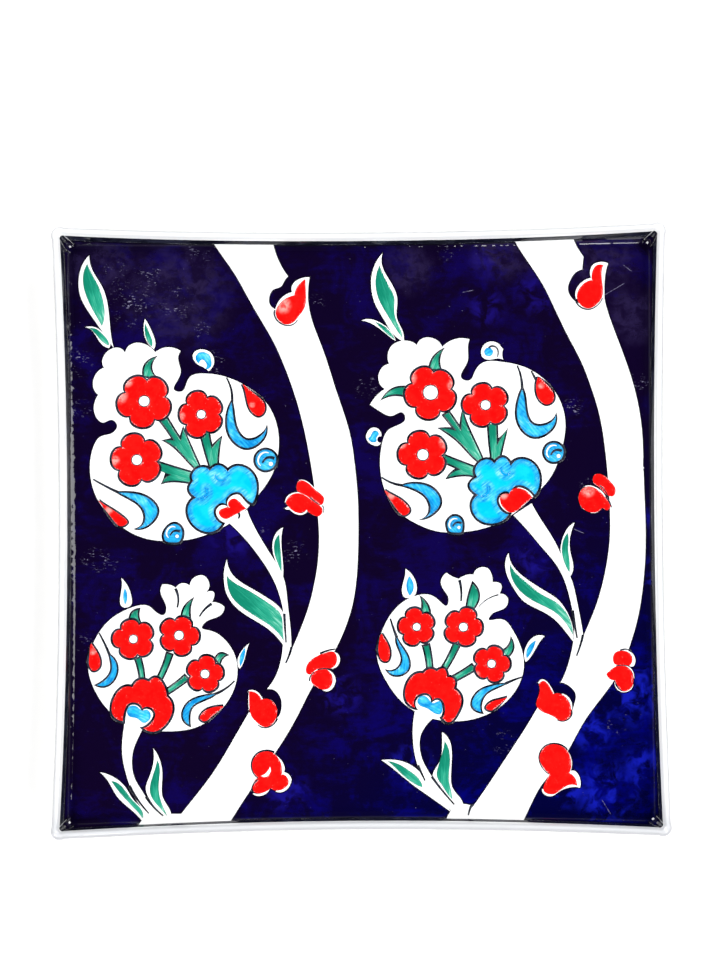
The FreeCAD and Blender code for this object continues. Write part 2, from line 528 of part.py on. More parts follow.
    # the two stems and their leaves
    reserves.append([
        [(-53.5, 4.5), (-46.5, -2.5), (-40, -11), (-35, -19.5), (-32.3, -27), (-31, -34), (-31.2, -42),
         (-31.6, -48), (-33.2, -55.5), (-38, -63.8)],
        [(-38, -63.8), (-29, -55), (-28, -47.5), (-28.2, -40), (-29.4, -29), (-31, -18.5), (-35.5, -10),
         (-41.5, 0), (-45.8, 9.5)], [(-45.8, 9.5), (-53.5, 4.5)]])
    reserves.append([
        [(-95.3, -75.5), (-96.3, -82), (-96.5, -90), (-94.8, -98.5), (-91.8, -106.5), (-88, -112.5),
         (-84, -117)],
        [(-84, -117), (-80, -115), (-84, -111), (-88, -105.5), (-91.5, -99.5), (-92.6, -94), (-92, -88),
         (-89.5, -82), (-87.6, -77.8)], [(-87.6, -77.8), (-95.3, -75.5)]])
    leaves("left_branch", [
        (almond((-109.8, 114.6), (-99.8, 76), [(-112.6, 110.8), (-114.2, 104.5), (-113.6, 98), (-110, 91),
                                        (-104.6, 83.2)],
                [(-101.3, 84), (-102.1, 92.5), (-104.6, 101.5), (-108.4, 108)]),
         almond((-110.7, 111), (-104.7, 85.3), [(-112.2, 107.3), (-112.4, 103), (-111.2, 98),
                                        (-108.7, 92.4)],
                [(-103.6, 90.2), (-104.3, 96), (-106, 101.5), (-108.8, 107)])),
        (almond((-111.6, 84.9), (-101.8, 76.2), [(-108, 82.6), (-106, 79.4)], [(-101.2, 78), (-103.9, 82.2),
                                        (-107, 84.6)]),
         almond((-110, 84.4), (-101.9, 77.3), [(-107.2, 81.9), (-104.6, 78.9)], [(-101.9, 78.4),
                                        (-104.3, 81.8), (-106.8, 84)])),
        (almond((-87.2, 88.2), (-83.5, 75.6), [(-87.7, 84.5), (-87.3, 81), (-86, 78.2)], [(-82.9, 77.6),
                                        (-84, 82), (-85.8, 86)]),
         almond((-87.1, 86.3), (-84.3, 76.6), [(-87.3, 83.4), (-86.8, 80.6), (-85.7, 78.1)], [(-84.2, 79),
                                        (-85.2, 82), (-86.3, 84.6)])),
        (almond((-31.2, 2.2), (-31.3, -18.7), [(-34.8, -1.6), (-35.5, -6.5), (-33.9, -12.5)],
                [(-31.3, -12), (-31.9, -5)]),
         almond((-32.7, -0.6), (-31.9, -16.2), [(-34.4, -3), (-34.9, -6.8), (-33.6, -12)], [(-31.9, -11),
                                        (-32.4, -5)])),
        (almond((-54, -10.6), (-31.2, -46), [(-55.1, -15), (-55.2, -20), (-54.3, -24.4), (-52.2, -28.2),
                                        (-48.7, -31.8),
                                             (-44, -35), (-38.5, -38.4), (-34.3, -42)],
                [(-30.6, -34), (-32.8, -30.4), (-37, -27), (-43.5, -23), (-50, -18.8)]),
         almond((-54, -17.3), (-31, -44.2), [(-53.9, -20.5), (-52.9, -24.4), (-50.8, -27.7), (-47.5, -30.7),
                                        (-43.5, -33.5),
                                             (-38.5, -36.6), (-34, -40.2)],
                [(-31.4, -38), (-32.4, -33), (-36, -29.5), (-41, -26.1), (-46.5, -22.8), (-51.5, -19.9)])),
        (almond((-105.6, -97), (-87.6, -118.3), [(-102, -101), (-98.5, -107), (-93, -112.2)],
                [(-87.4, -113), (-91.6, -108.8), (-95.2, -103.2), (-100, -99)]),
         almond((-101, -100.6), (-88.2, -116), [(-98.7, -103.9), (-95.3, -108), (-91.8, -111.6)],
                [(-88.6, -112.6), (-91.6, -109.2), (-95.2, -104.6), (-98.6, -101.3)])),
        (almond((-84, -87.4), (-77, -116.5), [(-83.9, -93), (-85.5, -98.8), (-87, -103.6), (-85, -108.8),
                                        (-81.5, -113.2)],
                [(-76.9, -113.6), (-80.1, -107.5), (-80.3, -99), (-81.2, -92.5)]),
         almond((-82.4, -92.2), (-78.2, -115.2), [(-83.5, -96.5), (-85, -101.2), (-85.3, -105.4),
                                        (-82.8, -110)],
                [(-80, -111.2), (-81.5, -106.5), (-81.7, -101), (-81.3, -96)]))])
    for path in ([(-30.8, -33), (-30.5, -39), (-30.1, -44.8)], [(-27.9, -46.6), (-28.9, -50),
                                        (-30.3, -53.2)],
                 [(-93.6, -102.5), (-90, -108.6), (-85.8, -113.8)], [(-87, -107), (-83.6, -111.5),
                                        (-80, -114.8)],
                 [(-49.8, 8.8), (-48.9, 7.4), (-49.3, 5.9)]):
        line("left_branch", path, branch_line)

    # buds on the trunk
    buds("left_trunk", [
        [[(-22, 103.6), (-25, 100.6), (-26, 97.2)],
         [(-26, 97.2), (-30, 95.6), (-32.8, 92.8), (-33.6, 90), (-32.5, 87.4), (-30, 85.8), (-27.4, 86.2),
          (-25, 88.6),
          (-22.6, 92), (-21.8, 97.5), (-22, 103.6)]],
        [[(-25.3, 19.3), (-24.3, 21), (-21, 19.9), (-17.6, 16.8), (-14.8, 13.8), (-15.6, 11.6),
          (-18.4, 12.6),
          (-21.6, 15.4), (-24.9, 17), (-25.3, 19.3)]],
        [[(-29.7, 12.2), (-28.2, 14.8), (-25.2, 15.8), (-21.8, 14.6), (-18.4, 12), (-15.4, 9.2),
          (-16.4, 7.1),
          (-19.2, 7.6), (-21.4, 10.6)], [(-21.4, 10.6), (-23, 8.7), (-25.8, 8.6), (-28.4, 10.4),
                                        (-29.7, 12.2)]],
        [[(-21.8, -56.6), (-21, -53.4), (-18, -50.9), (-14.2, -49.4), (-11, -49), (-9.8, -51.6),
          (-11.4, -54.8),
          (-15, -55.2), (-18.6, -56), (-20.6, -57.6), (-21.8, -56.6)]],
        [[(-19.8, -60.2), (-19.2, -57.8), (-17, -56.2), (-14.3, -56), (-12.2, -57.6), (-11.6, -60.3),
          (-12.7, -63),
          (-15, -63.8), (-17.4, -62.9), (-19.8, -60.2)]],
        [[(-44.9, -64.8), (-42.3, -65.6), (-40.2, -68.3)], [(-40.2, -68.3), (-37, -68.2), (-34.6, -70.6),
                                        (-34.2, -74),
          (-35.8, -77.4), (-38.6, -78.8), (-41.2, -77.6), (-44, -74.4), (-44.8, -70), (-44.9, -64.8)]],
        [[(-32.5, -98.7), (-30.2, -99.6), (-29.6, -101.8), (-31.6, -104), (-34.6, -104.5), (-36.9, -102.8)],
         [(-36.9, -102.8), (-39.6, -105.4), (-43, -105.2), (-43.5, -103), (-40.8, -100)],
         [(-40.8, -100), (-43.4, -97.2), (-43.8, -93.6), (-41.6, -90), (-38, -89), (-34.6, -90.8),
          (-32.5, -94.6),
          (-32.5, -98.7)]]],
        whites=[
            [[(-20, 104.8), (-24, 104.2), (-27, 101.8), (-27.2, 98.7)], [(-27.2, 98.7), (-31, 96.8),
                                        (-33.6, 93.2), (-34.2, 91)],
             [(-34.2, 91), (-28, 91.5), (-20.4, 92.8)], [(-20.4, 92.8), (-20.7, 98), (-20, 104.8)]],
            [[(-11.4, -49), (-9.2, -49.5), (-8.3, -51.6), (-9, -54), (-11.4, -55.6)], [(-11.4, -55.6),
                                        (-10.4, -52.4), (-11.4, -49)]],
            [[(-15, -55.9), (-11.6, -57), (-10.1, -60), (-11, -63), (-13, -64.7), (-15.6, -64)],
             [(-15.6, -64), (-12.6, -60), (-15, -55.9)]],
            [[(-30.5, 9.9), (-28.8, 10.9), (-26.8, 12)], [(-26.8, 12), (-27.4, 10), (-29, 9.4),
                                        (-30.5, 9.9)]],
            [[(-35, -90), (-32.4, -92.4), (-30.9, -95.4), (-31.1, -97.4)], [(-31.1, -97.4), (-29.3, -98.3),
                                        (-28.1, -100.4)],
             [(-28.1, -100.4), (-29.3, -103.6), (-31.6, -105.4), (-34.4, -105.3)], [(-34.4, -105.3),
                                        (-33.5, -98), (-35, -90)]]],
        edges=[
            ([(-24.6, 21.4), (-22.6, 21.2), (-20.4, 19.9), (-18.4, 18)], 0.55),
            ([(-30.2, 12.4), (-28.6, 15.2), (-25.4, 16.2), (-22, 15.2), (-19.2, 12.9)], 0.6),
            ([(-28.4, 9.8), (-26.2, 8.1), (-23.6, 7.6), (-21.6, 8.8), (-21.2, 10.8)], 0.7),
            ([(-45.5, -64.4), (-43.2, -64.4), (-41, -66), (-39.6, -68)], 0.6),
            ([(-45.2, -64.6), (-45.2, -68), (-45.2, -72)], 0.5),
            ([(-36.9, -103.2), (-38.8, -105.8), (-41.2, -106.6), (-43.6, -106)], 0.9)],
        hollows=[[[(-36.8, -95.2), (-36.7, -97.6), (-38.2, -99.2), (-40.4, -98.9)], [(-40.4, -98.9),
                                        (-38.4, -97.7), (-36.8, -95.2)]]],
        shadows=[
            ([(-34.3, 91.4), (-33.9, 88), (-31.4, 85.6), (-28.2, 85), (-25, 87.2)], 0.7),
            ([(-20.2, 14.3), (-18.2, 12.6), (-16.2, 11.2)], 0.6), ([(-15.2, 11), (-14.6, 9.6),
                                        (-14.9, 8)], 0.5),
            ([(-16.4, -49.4), (-13.4, -48.2), (-10.2, -47.6)], 0.9), ([(-17.4, -55.9), (-14.4, -55.5),
                                        (-11.2, -55.7)], 0.5),
            ([(-20.7, -60.6), (-20.3, -58.6), (-18.8, -57)], 0.6),
            ([(-33.8, -75.6), (-35.6, -78.2), (-38.6, -79.4), (-41.6, -78.2)], 0.7),
            ([(-35, -89.4), (-38.4, -88.6), (-42, -89.8), (-44.2, -93.4), (-43.8, -97.2),
              (-41.6, -99.8)], 0.8),
            ([(-41.8, -100.4), (-43.7, -102.6), (-44.4, -105)], 0.7)])


def draw_right():
    trunk_left = [(62, 121.9), (66, 115), (70, 109), (75, 101), (80, 90.5), (85, 79.8), (90, 70),
                  (94, 59.5),
                  (97.5, 47.5), (99.5, 35), (100.5, 25), (101.3, 12), (101.5, 2), (100.8, -8), (98.8, -19),
                  (95.5, -30.5), (90.5, -42.5), (86.5, -52), (80.8, -61.7)]
    left_hollow = [(80.8, -61.7), (84.6, -63.4), (86.9, -66.6), (86.3, -70.6), (84.8, -74), (80, -73.5),
                   (71.4, -72)]
    trunk_root = [(71.4, -72), (65, -82.5), (57, -94.5), (50, -105), (43, -115), (39, -121.5)]
    trunk_foot = [(39, -121.5), (63.5, -121.5)]
    trunk_right = [(63.5, -121.5), (66, -116.5), (69.3, -109.5), (73, -103), (79, -96), (85, -87),
                   (90, -78),
                   (95, -71), (102, -61.8), (106, -55), (109, -47), (112, -37), (114.6, -22), (115.7, -8),
                   (115.7, 8), (115.2, 25), (114.8, 40), (113.3, 51.5), (110.5, 63), (107, 73.5),
                   (103, 84.5),
                   (101.2, 90), (100, 95)]
    bud_hollow = [(100, 95), (94, 94.6), (89.2, 93.4), (86.8, 95.3), (85.2, 98.6), (86, 102.6),
                  (88.2, 105.8),
                  (91, 107.2)]
    trunk_neck = [(91, 107.2), (91.6, 112.4)]
    trunk_top = [(91.6, 112.4), (89.3, 116), (86.3, 121.9)]
    reserves.append([trunk_left, left_hollow, trunk_root, trunk_foot, trunk_right, bud_hollow, trunk_neck,
                     trunk_top,
                     [(86.3, 121.9), (62, 121.9)]])
    root_flare = [[(34, -118), (36.5, -113.2), (40, -110.6)], [(40, -110.6), (42.5, -110.9), (45, -111.6)],
                  [(45, -111.6), (43, -118)], [(43, -118), (34, -118)]]
    reserves.append(root_flare)

    # big pomegranate
    body = [
        [(45, 78.8), (40.5, 79.2), (33.8, 75.7)],
        [(33.8, 75.7), (30.8, 79), (26.5, 79.5), (23.5, 76.5)],
        [(23.5, 76.5), (18, 78.4), (13, 76), (11.6, 72), (12.2, 68.9)],
        [(12.2, 68.9), (8.4, 66), (7.9, 62), (10.4, 58.6)], [(10.4, 58.6), (7, 55.9), (4.3, 52.2)],
        [(4.3, 52.2), (9, 49), (13.5, 47.6), (17.5, 48.9), (18.6, 46.2), (16.5, 44.1), (11.8, 41.8),
         (9, 35.5),
         (8.3, 27), (10, 17.5), (14.5, 9.3), (22, 3.8), (31, 0.2), (41, -0.3), (51, 1.4), (60, 5.5),
         (70, 13.8), (77.5, 22), (82, 33), (83.7, 43.5), (81.5, 53.5), (75, 62.3), (66.5, 67.5),
         (57.5, 69.5), (50.5, 69.2), (47, 65.4), (44.8, 61.9), (41.6, 62.8), (42.6, 66.8), (44.2, 70),
         (44.3, 74.5), (45, 78.8)]]
    blossom = [
        [(71, 14.8), (73.1, 21), (70.8, 27.3), (66, 29.5), (61.4, 26.6)],
        [(61.4, 26.6), (58.3, 30.2), (54.7, 27.7)],
        [(54.7, 27.7), (50.8, 29.3), (47.2, 26.3), (47.8, 22.2)], [(47.8, 22.2), (44.6, 19), (48, 14.9)],
        [(48, 14.9), (45.4, 10.5), (48, 5), (54, 3.2), (60.3, 6.9)],
        [(60.3, 6.9), (56.6, 9.5), (55.8, 14), (58.4, 16.2), (61, 15.6)],
        [(61, 15.6), (64.5, 18.8), (69, 17), (71, 14.8)]]
    calyx = [[(60.6, 15.2), (63, 17.5), (66.5, 17), (69.9, 13.4)],
             [(69.9, 13.4), (66, 10.3), (61.6, 7.6), (57.6, 10.5), (57, 14), (60.6, 15.2)]]
    big_pomegranate("right_big_pomegranate", {
        "body": body, "blossom": blossom, "calyx": calyx,
        "flowers": [((29, 57), 11.1, 45, 2.9), ((51.3, 51.7), 9.5, 33, 1.9), ((25.7, 31.5), 10.2, 33, 2.2)],
        "sepals": [
            [[(28.8, 66.8), (30.2, 71), (34, 74.6)], [(34, 74.6), (32.3, 70.5), (33, 66.4)],
             [(33, 66.4), (28.8, 66.8)]],
            [[(19.5, 59), (14.5, 58.7), (9.4, 54.6)], [(9.4, 54.6), (13, 56.2), (18.5, 55.8)],
             [(18.5, 55.8), (19.5, 59)]]],
        "curls": [[(57.5, 26), (57.8, 24.2), (59.2, 23.1), (61, 24.2)],
                  [(51.6, 18.6), (52.2, 16.6), (51.2, 14.8), (49.2, 14.3)]],
        "stalks": [
            [[(34.4, 47.6), (36.6, 44.8), (39.4, 41.2)], [(39.4, 41.2), (36, 42), (32.8, 42.2)],
             [(32.8, 42.2), (36.5, 40), (41.2, 36), (44.4, 32.4), (48.2, 28.8)], [(48.2, 28.8),
                                        (49.9, 29.2)],
             [(49.9, 29.2), (46.4, 37.2), (43.2, 44.6), (42, 49.5)], [(42, 49.5), (41.5, 45), (41.4, 41.2)],
             [(41.4, 41.2), (39, 45), (36.4, 48.8)], [(36.4, 48.8), (34.4, 47.6)]],
            [[(52.5, 43.8), (52.8, 38), (53.8, 29)], [(53.8, 29), (56.6, 29.4)],
             [(56.6, 29.4), (57.6, 33.6), (59.8, 41.3)], [(59.8, 41.3), (57.4, 38), (55.9, 35.2)],
             [(55.9, 35.2), (55.7, 39.4), (55.6, 44)], [(55.6, 44), (52.5, 43.8)]],
            [[(34.2, 31.2), (38, 29.6), (47.8, 25.8)], [(47.8, 25.8), (47.8, 22.2)],
             [(47.8, 22.2), (43, 23.2), (39.5, 23), (35.8, 22.1)], [(35.8, 22.1), (37.6, 24), (41, 25.3)],
             [(41, 25.3), (38, 26.9), (34.2, 28.6)], [(34.2, 28.6), (34.2, 31.2)]]],
        "hooks": [
            [[(66.2, 58), (64.2, 51), (64.8, 44), (70.5, 38.6), (77, 40.8), (79.8, 47.2)],
             [(79.8, 47.2), (75.5, 43.3), (70.2, 43.8), (67.8, 48.5), (67.2, 53.5), (66.2, 58)]],
            [[(17.5, 19), (25, 19.4), (30.6, 16.6), (32.6, 11.8), (29.6, 7.5), (25.3, 5.3)],
             [(25.3, 5.3), (28.7, 9), (27.6, 13.4), (23.4, 17), (17.5, 19)]]],
        "tails": [[(66.2, 58), (65.8, 63), (64.3, 67.8)], [(17.5, 19), (13, 20.1), (8.9, 22.4)],
                  [(72, 61.8), (71, 63.5), (70, 65.6)]],
        "drops": [[[(72.5, 62.6), (71.9, 57.5), (73.6, 53.2), (76.3, 51.8), (79, 53.8), (78.6, 57),
                    (75.6, 60.6),
                    (72.5, 62.6)]],
                  [[(10.6, 16.8), (15, 14.3), (19, 11.2), (20.2, 8.5), (18.6, 6.9), (14.2, 10.4),
                    (10.6, 16.8)]]],
        "swirls": [
            {**curl_marks((78.9, 32.1), 3.9),
             "disc": ring_outline((78.9, 32.1), 3.9)},
            {**curl_marks((38.6, 2.9), 3.2),
             "disc": [[(35.5, 2.4), (36.2, 5), (38.6, 6.3), (41, 5), (41.6, 2.2), (41, -0.2), (39, -0.4),
                       (36.2, 0.2),
                       (35.5, 2.4)]]},
            {"white": [[(49.7, 73.4), (50.5, 76), (52.6, 77.6), (55.6, 77.5), (57.6, 75.9)], [(57.6, 75.9),
                                        (58.6, 74.6)],
                       [(58.6, 74.6), (58.2, 72.4), (58.7, 70.2)],
                       [(58.7, 70.2), (55, 70.6), (52.4, 70.3), (50.4, 71.2), (49.7, 73.4)]],
             "strokes": [([(52.8, 75.2), (54.6, 75.9), (56.1, 75), (56.6, 73.2), (56.1, 71.4)], 0.8)],
             "disc": ring_outline((52.7, 73.5), 1.8)},
            {"white": [[(2.6, 39.2), (3.4, 41.3), (5.4, 42.8), (7.5, 42.3), (8.8, 40.6), (8.8, 39.1)],
                       [(8.8, 39.1), (7.4, 38.6), (7.3, 37.5), (8.7, 36.6)],
                       [(8.7, 36.6), (7.6, 35.4), (5.4, 35.6), (3.4, 37.1), (2.6, 39.2)]],
             "disc": [[(3.7, 38.6), (4.8, 40), (5.6, 41.3), (7.2, 41.3), (7.8, 39.9), (6.9, 38.7),
                       (6.9, 37.2), (5.6, 36.7),
                       (4.2, 37.3), (3.7, 38.6)]]}]})

    # small pomegranate
    body = [
        [(35, -16.8), (37.3, -18.3), (40, -19.3)], [(40, -19.3), (42.5, -17.9), (46, -17.6)],
        [(46, -17.6), (48, -15), (51.5, -15), (53.4, -18), (53.6, -20.7)],
        [(53.6, -20.7), (57, -21.6), (56.4, -25.5)], [(56.4, -25.5), (58.6, -26), (59.9, -27.7)],
        [(59.9, -27.7), (56.5, -32.3), (53, -34), (52, -35.9), (56, -35.8), (61.5, -40), (65.2, -48),
         (66, -56), (63.5, -63.5), (58, -70.2), (49, -75.4), (38, -77.3), (27, -75.5), (17.5, -70),
         (10.5, -61), (6.7, -50.5), (8.5, -41), (14, -31.5), (21, -26.6), (28, -25.7), (32.2, -28.4),
         (35, -30.2), (35.8, -28), (34, -24), (35, -16.8)]]
    blossom = [
        [(22, -71.6), (18.4, -68.5), (19, -61.5), (22, -58.1), (25.3, -57.7)],
        [(25.3, -57.7), (28, -56), (30.8, -56.9)], [(30.8, -56.9), (33.4, -55.8), (35, -59.2)],
        [(35, -59.2), (37.8, -60.2), (37.6, -64)],
        [(37.6, -64), (40.7, -68.5), (39, -74), (36, -77.5), (33, -75.8)],
        [(33, -75.8), (34, -71.5), (32.2, -68), (29, -68.6)],
        [(29, -68.6), (26.5, -65.7), (23.2, -66.5), (22, -71.6)]]
    calyx = [[(23.2, -68), (25, -66.8), (27, -67.6), (29.3, -69.8), (31.8, -69), (33, -71.5), (32.1, -74.3),
              (29.5, -73.8), (26.5, -71.8), (24, -70.8), (23.2, -68)]]
    small_pomegranate("right_small_pomegranate", {
        "body": body, "blossom": blossom, "calyx": calyx,
        "flowers": [((22.8, -38.8), 7.9, 30, 1.5), ((41.7, -39), 8.2, -2, 1.7), ((53, -54), 7.7, 0, 1.6)],
        "sepals": [
            [[(24.6, -33.4), (25.4, -29.6), (24.7, -26.9)], [(24.7, -26.9), (27, -29.8), (27.9, -34.8)],
             [(27.9, -34.8), (24.6, -33.4)]],
            [[(43.3, -30.9), (44.2, -26), (45.7, -21.4)], [(45.7, -21.4), (47.8, -25.4), (46, -31)],
             [(46, -31), (43.3, -30.9)]],
            [[(57.4, -48.9), (60, -47), (61, -44)], [(61, -44), (61.6, -47.4), (59.5, -51)],
             [(59.5, -51), (57.4, -48.9)]]],
        "stalks": [((26.6, -46.5), (28.1, -57.4), 2.1), ((38.9, -46.2), (33, -57), 2.0),
                   ((45.6, -55.4), (36.8, -60.4), 2.3)],
        "hooks": [
            [[(14.7, -43), (15.9, -48), (16.9, -52.4), (15.4, -55.4), (11, -56.6)],
             [(11, -56.6), (15.6, -58.3), (19.2, -56), (19.4, -52), (17.2, -47.6), (14.7, -43)]],
            [[(58.5, -62.1), (52, -63.3), (46.8, -66.2), (45, -70), (48.8, -73.6)],
             [(48.8, -73.6), (48.4, -70), (50.2, -66.4), (54, -63.9), (58.5, -62.1)]]],
        "tails": [[(14.7, -43), (13.4, -39.4), (12.1, -35.3)], [(58.5, -62.1), (61.5, -60.8),
                                        (65.2, -59.5)]],
        "drops": [[[(8.8, -41.8), (10.9, -45.4), (11.9, -50), (10.8, -52.6), (9, -52.5), (7.4, -49.6),
                    (7.4, -45.6),
                    (8.8, -41.8)]],
                  [[(59, -67.7), (55.5, -68.6), (51.6, -70.3), (50.6, -72), (52, -72.9), (55.2, -71.4),
                    (59, -67.7)]]],
        "flames": [
            (almond((18.3, -15), (19.8, -27), [(17.9, -19), (16.9, -23.5), (17.6, -26.4)],
                    [(22.4, -25.4), (22.9, -22), (21.4, -18)]),
             almond((19.9, -18), (20.1, -26.2), [(18.8, -23)], [(21.7, -22.5)])),
            (almond((74.6, -42.9), (66.8, -53.4), [(70.3, -43.1), (67.3, -46.4), (66.2, -50)],
                    [(69.6, -50.2), (72, -46)]),
             almond((71, -44.6), (67.2, -52), [(68, -47)], [(69.4, -49)]))]})
    line("right_small_pomegranate", [(40.2, -19.8), (40.9, -23.6), (40.8, -28.4)])
    line("right_small_pomegranate", [(56, -25.9), (52, -27.4), (48, -30.7)], 0.6)

    # the two stems and their leaves
    reserves.append([
        [(62.3, 6.5), (68, 0.3), (74, -7), (79.5, -13.8), (83.2, -21.5), (85.3, -29.5), (86.5, -37),
         (86.4, -43), (85.4, -49), (82.5, -58.5), (80.8, -62)],
        [(80.8, -62), (88, -53), (90.2, -46), (89.8, -40), (88, -30), (86, -21), (83, -13.5), (79.5, -5.3),
         (74, 3.8), (69.7, 11.3)], [(69.7, 11.3), (62.3, 6.5)]])
    reserves.append([
        [(22.2, -71.6), (21.1, -78), (21.1, -86), (22.4, -93.5), (25.4, -100.5), (31, -108),
         (37.5, -114.5)],
        [(37.5, -114.5), (38.5, -111.6), (33, -105.5), (28.5, -99.5), (25.6, -94.5), (23.8, -88.5),
         (24, -83.5), (26.4, -78.8), (30.2, -75.3)], [(30.2, -75.3), (22.2, -71.6)]])
    leaves("right_branch", [
        (almond((9.8, 114.6), (18.2, 78), [(6.9, 110.5), (5.2, 105), (5.1, 100), (6.6, 93.6), (10, 87.5),
                                        (14.4, 80.6)],
                [(17.6, 82.8), (15.4, 88), (15.7, 95), (13.6, 101.5), (10.2, 107.5)]),
         almond((8.6, 109.6), (17.6, 79.6), [(7.1, 105.3), (6.9, 100.6), (8.3, 95), (11.6, 89),
                                        (14.8, 83.6)],
                [(16.9, 83), (14.9, 87.6), (14.4, 91.5), (14.5, 95.6), (12.4, 100.8), (9.8, 106)])),
        (almond((0.9, 86.8), (15, 78.2), [(4.8, 85.7), (9.5, 82.5)], [(13.6, 81.4), (8.5, 86),
                                        (4.2, 87.4)]),
         almond((6.6, 86.2), (14.6, 78.9), [(9, 83.5), (11.8, 80.9)], [(13.2, 81.5), (10, 84.6)])),
        (almond((87.1, 3.4), (85.2, -18.5), [(84.2, 1), (82.3, -2.6), (81.3, -8), (82.5, -13.2)],
                [(86.4, -15), (85.3, -9), (85, -4), (85.7, -0.4)]),
         almond((84.2, -0.8), (84.8, -17), [(82.6, -3.4), (81.8, -7.6), (82.4, -11.8)],
                [(84.9, -12.5), (84.4, -7), (84.6, -3.4)])),
        (almond((60.2, -8.8), (86, -45), [(58.8, -13.5), (59.6, -18.2), (62, -23), (66.3, -28.7),
                                        (72.5, -32.2),
                                          (78.5, -36), (83.2, -41.3)],
                [(85.8, -38.5), (83.8, -33.3), (80, -28), (74.5, -24.3), (68, -20), (62.8, -15.4)]),
         almond((60.8, -13.4), (86, -42.6), [(61.1, -18), (63.3, -22.7), (67, -26.5), (72.5, -29.8),
                                        (78.5, -33),
                                             (82.6, -37)],
                [(85.3, -37.6), (83, -32.8), (79, -28.9), (73.5, -25.9), (68, -21.4), (63.4, -17.4)])),
        (almond((8.2, -92.8), (37, -114.6), [(12.4, -95.8), (19, -101.4), (28, -108)],
                [(33, -109.6), (25.5, -99.5), (17.5, -93.6), (12, -92.6)]),
         almond((10.8, -93.2), (24.8, -104), [(14.5, -96.8), (19.5, -101.2)], [(23.6, -100.8), (20, -97.5),
                                        (15, -94.4)])),
        (almond((32.8, -81.6), (39.5, -113.4), [(32.8, -87), (31.5, -94), (28.9, -98.9), (33, -105.6)],
                [(41, -110.6), (37.2, -104.8), (36.3, -99), (36.7, -91.5), (35.8, -85)]),
         almond((33.8, -85.2), (36.9, -109), [(32.7, -90.5), (31, -96), (30.6, -99.4), (32.8, -103.4),
                                        (35.2, -107.2)],
                [(36.5, -106.2), (35.5, -101.5), (35.9, -94), (35.5, -88.6)]))])
    for path in ([(86, -32.5), (86.9, -39), (87.7, -43.8)], [(90.1, -42.4), (89, -46.6), (87.4, -51)],
                 [(23, -95), (24.3, -98), (25.8, -101.2)], [(28.5, -99.6), (33, -105.6), (37.6, -111)],
                 [(44.6, -111.2), (43.8, -113), (43.2, -115.4)]):
        line("right_branch", path, branch_line)

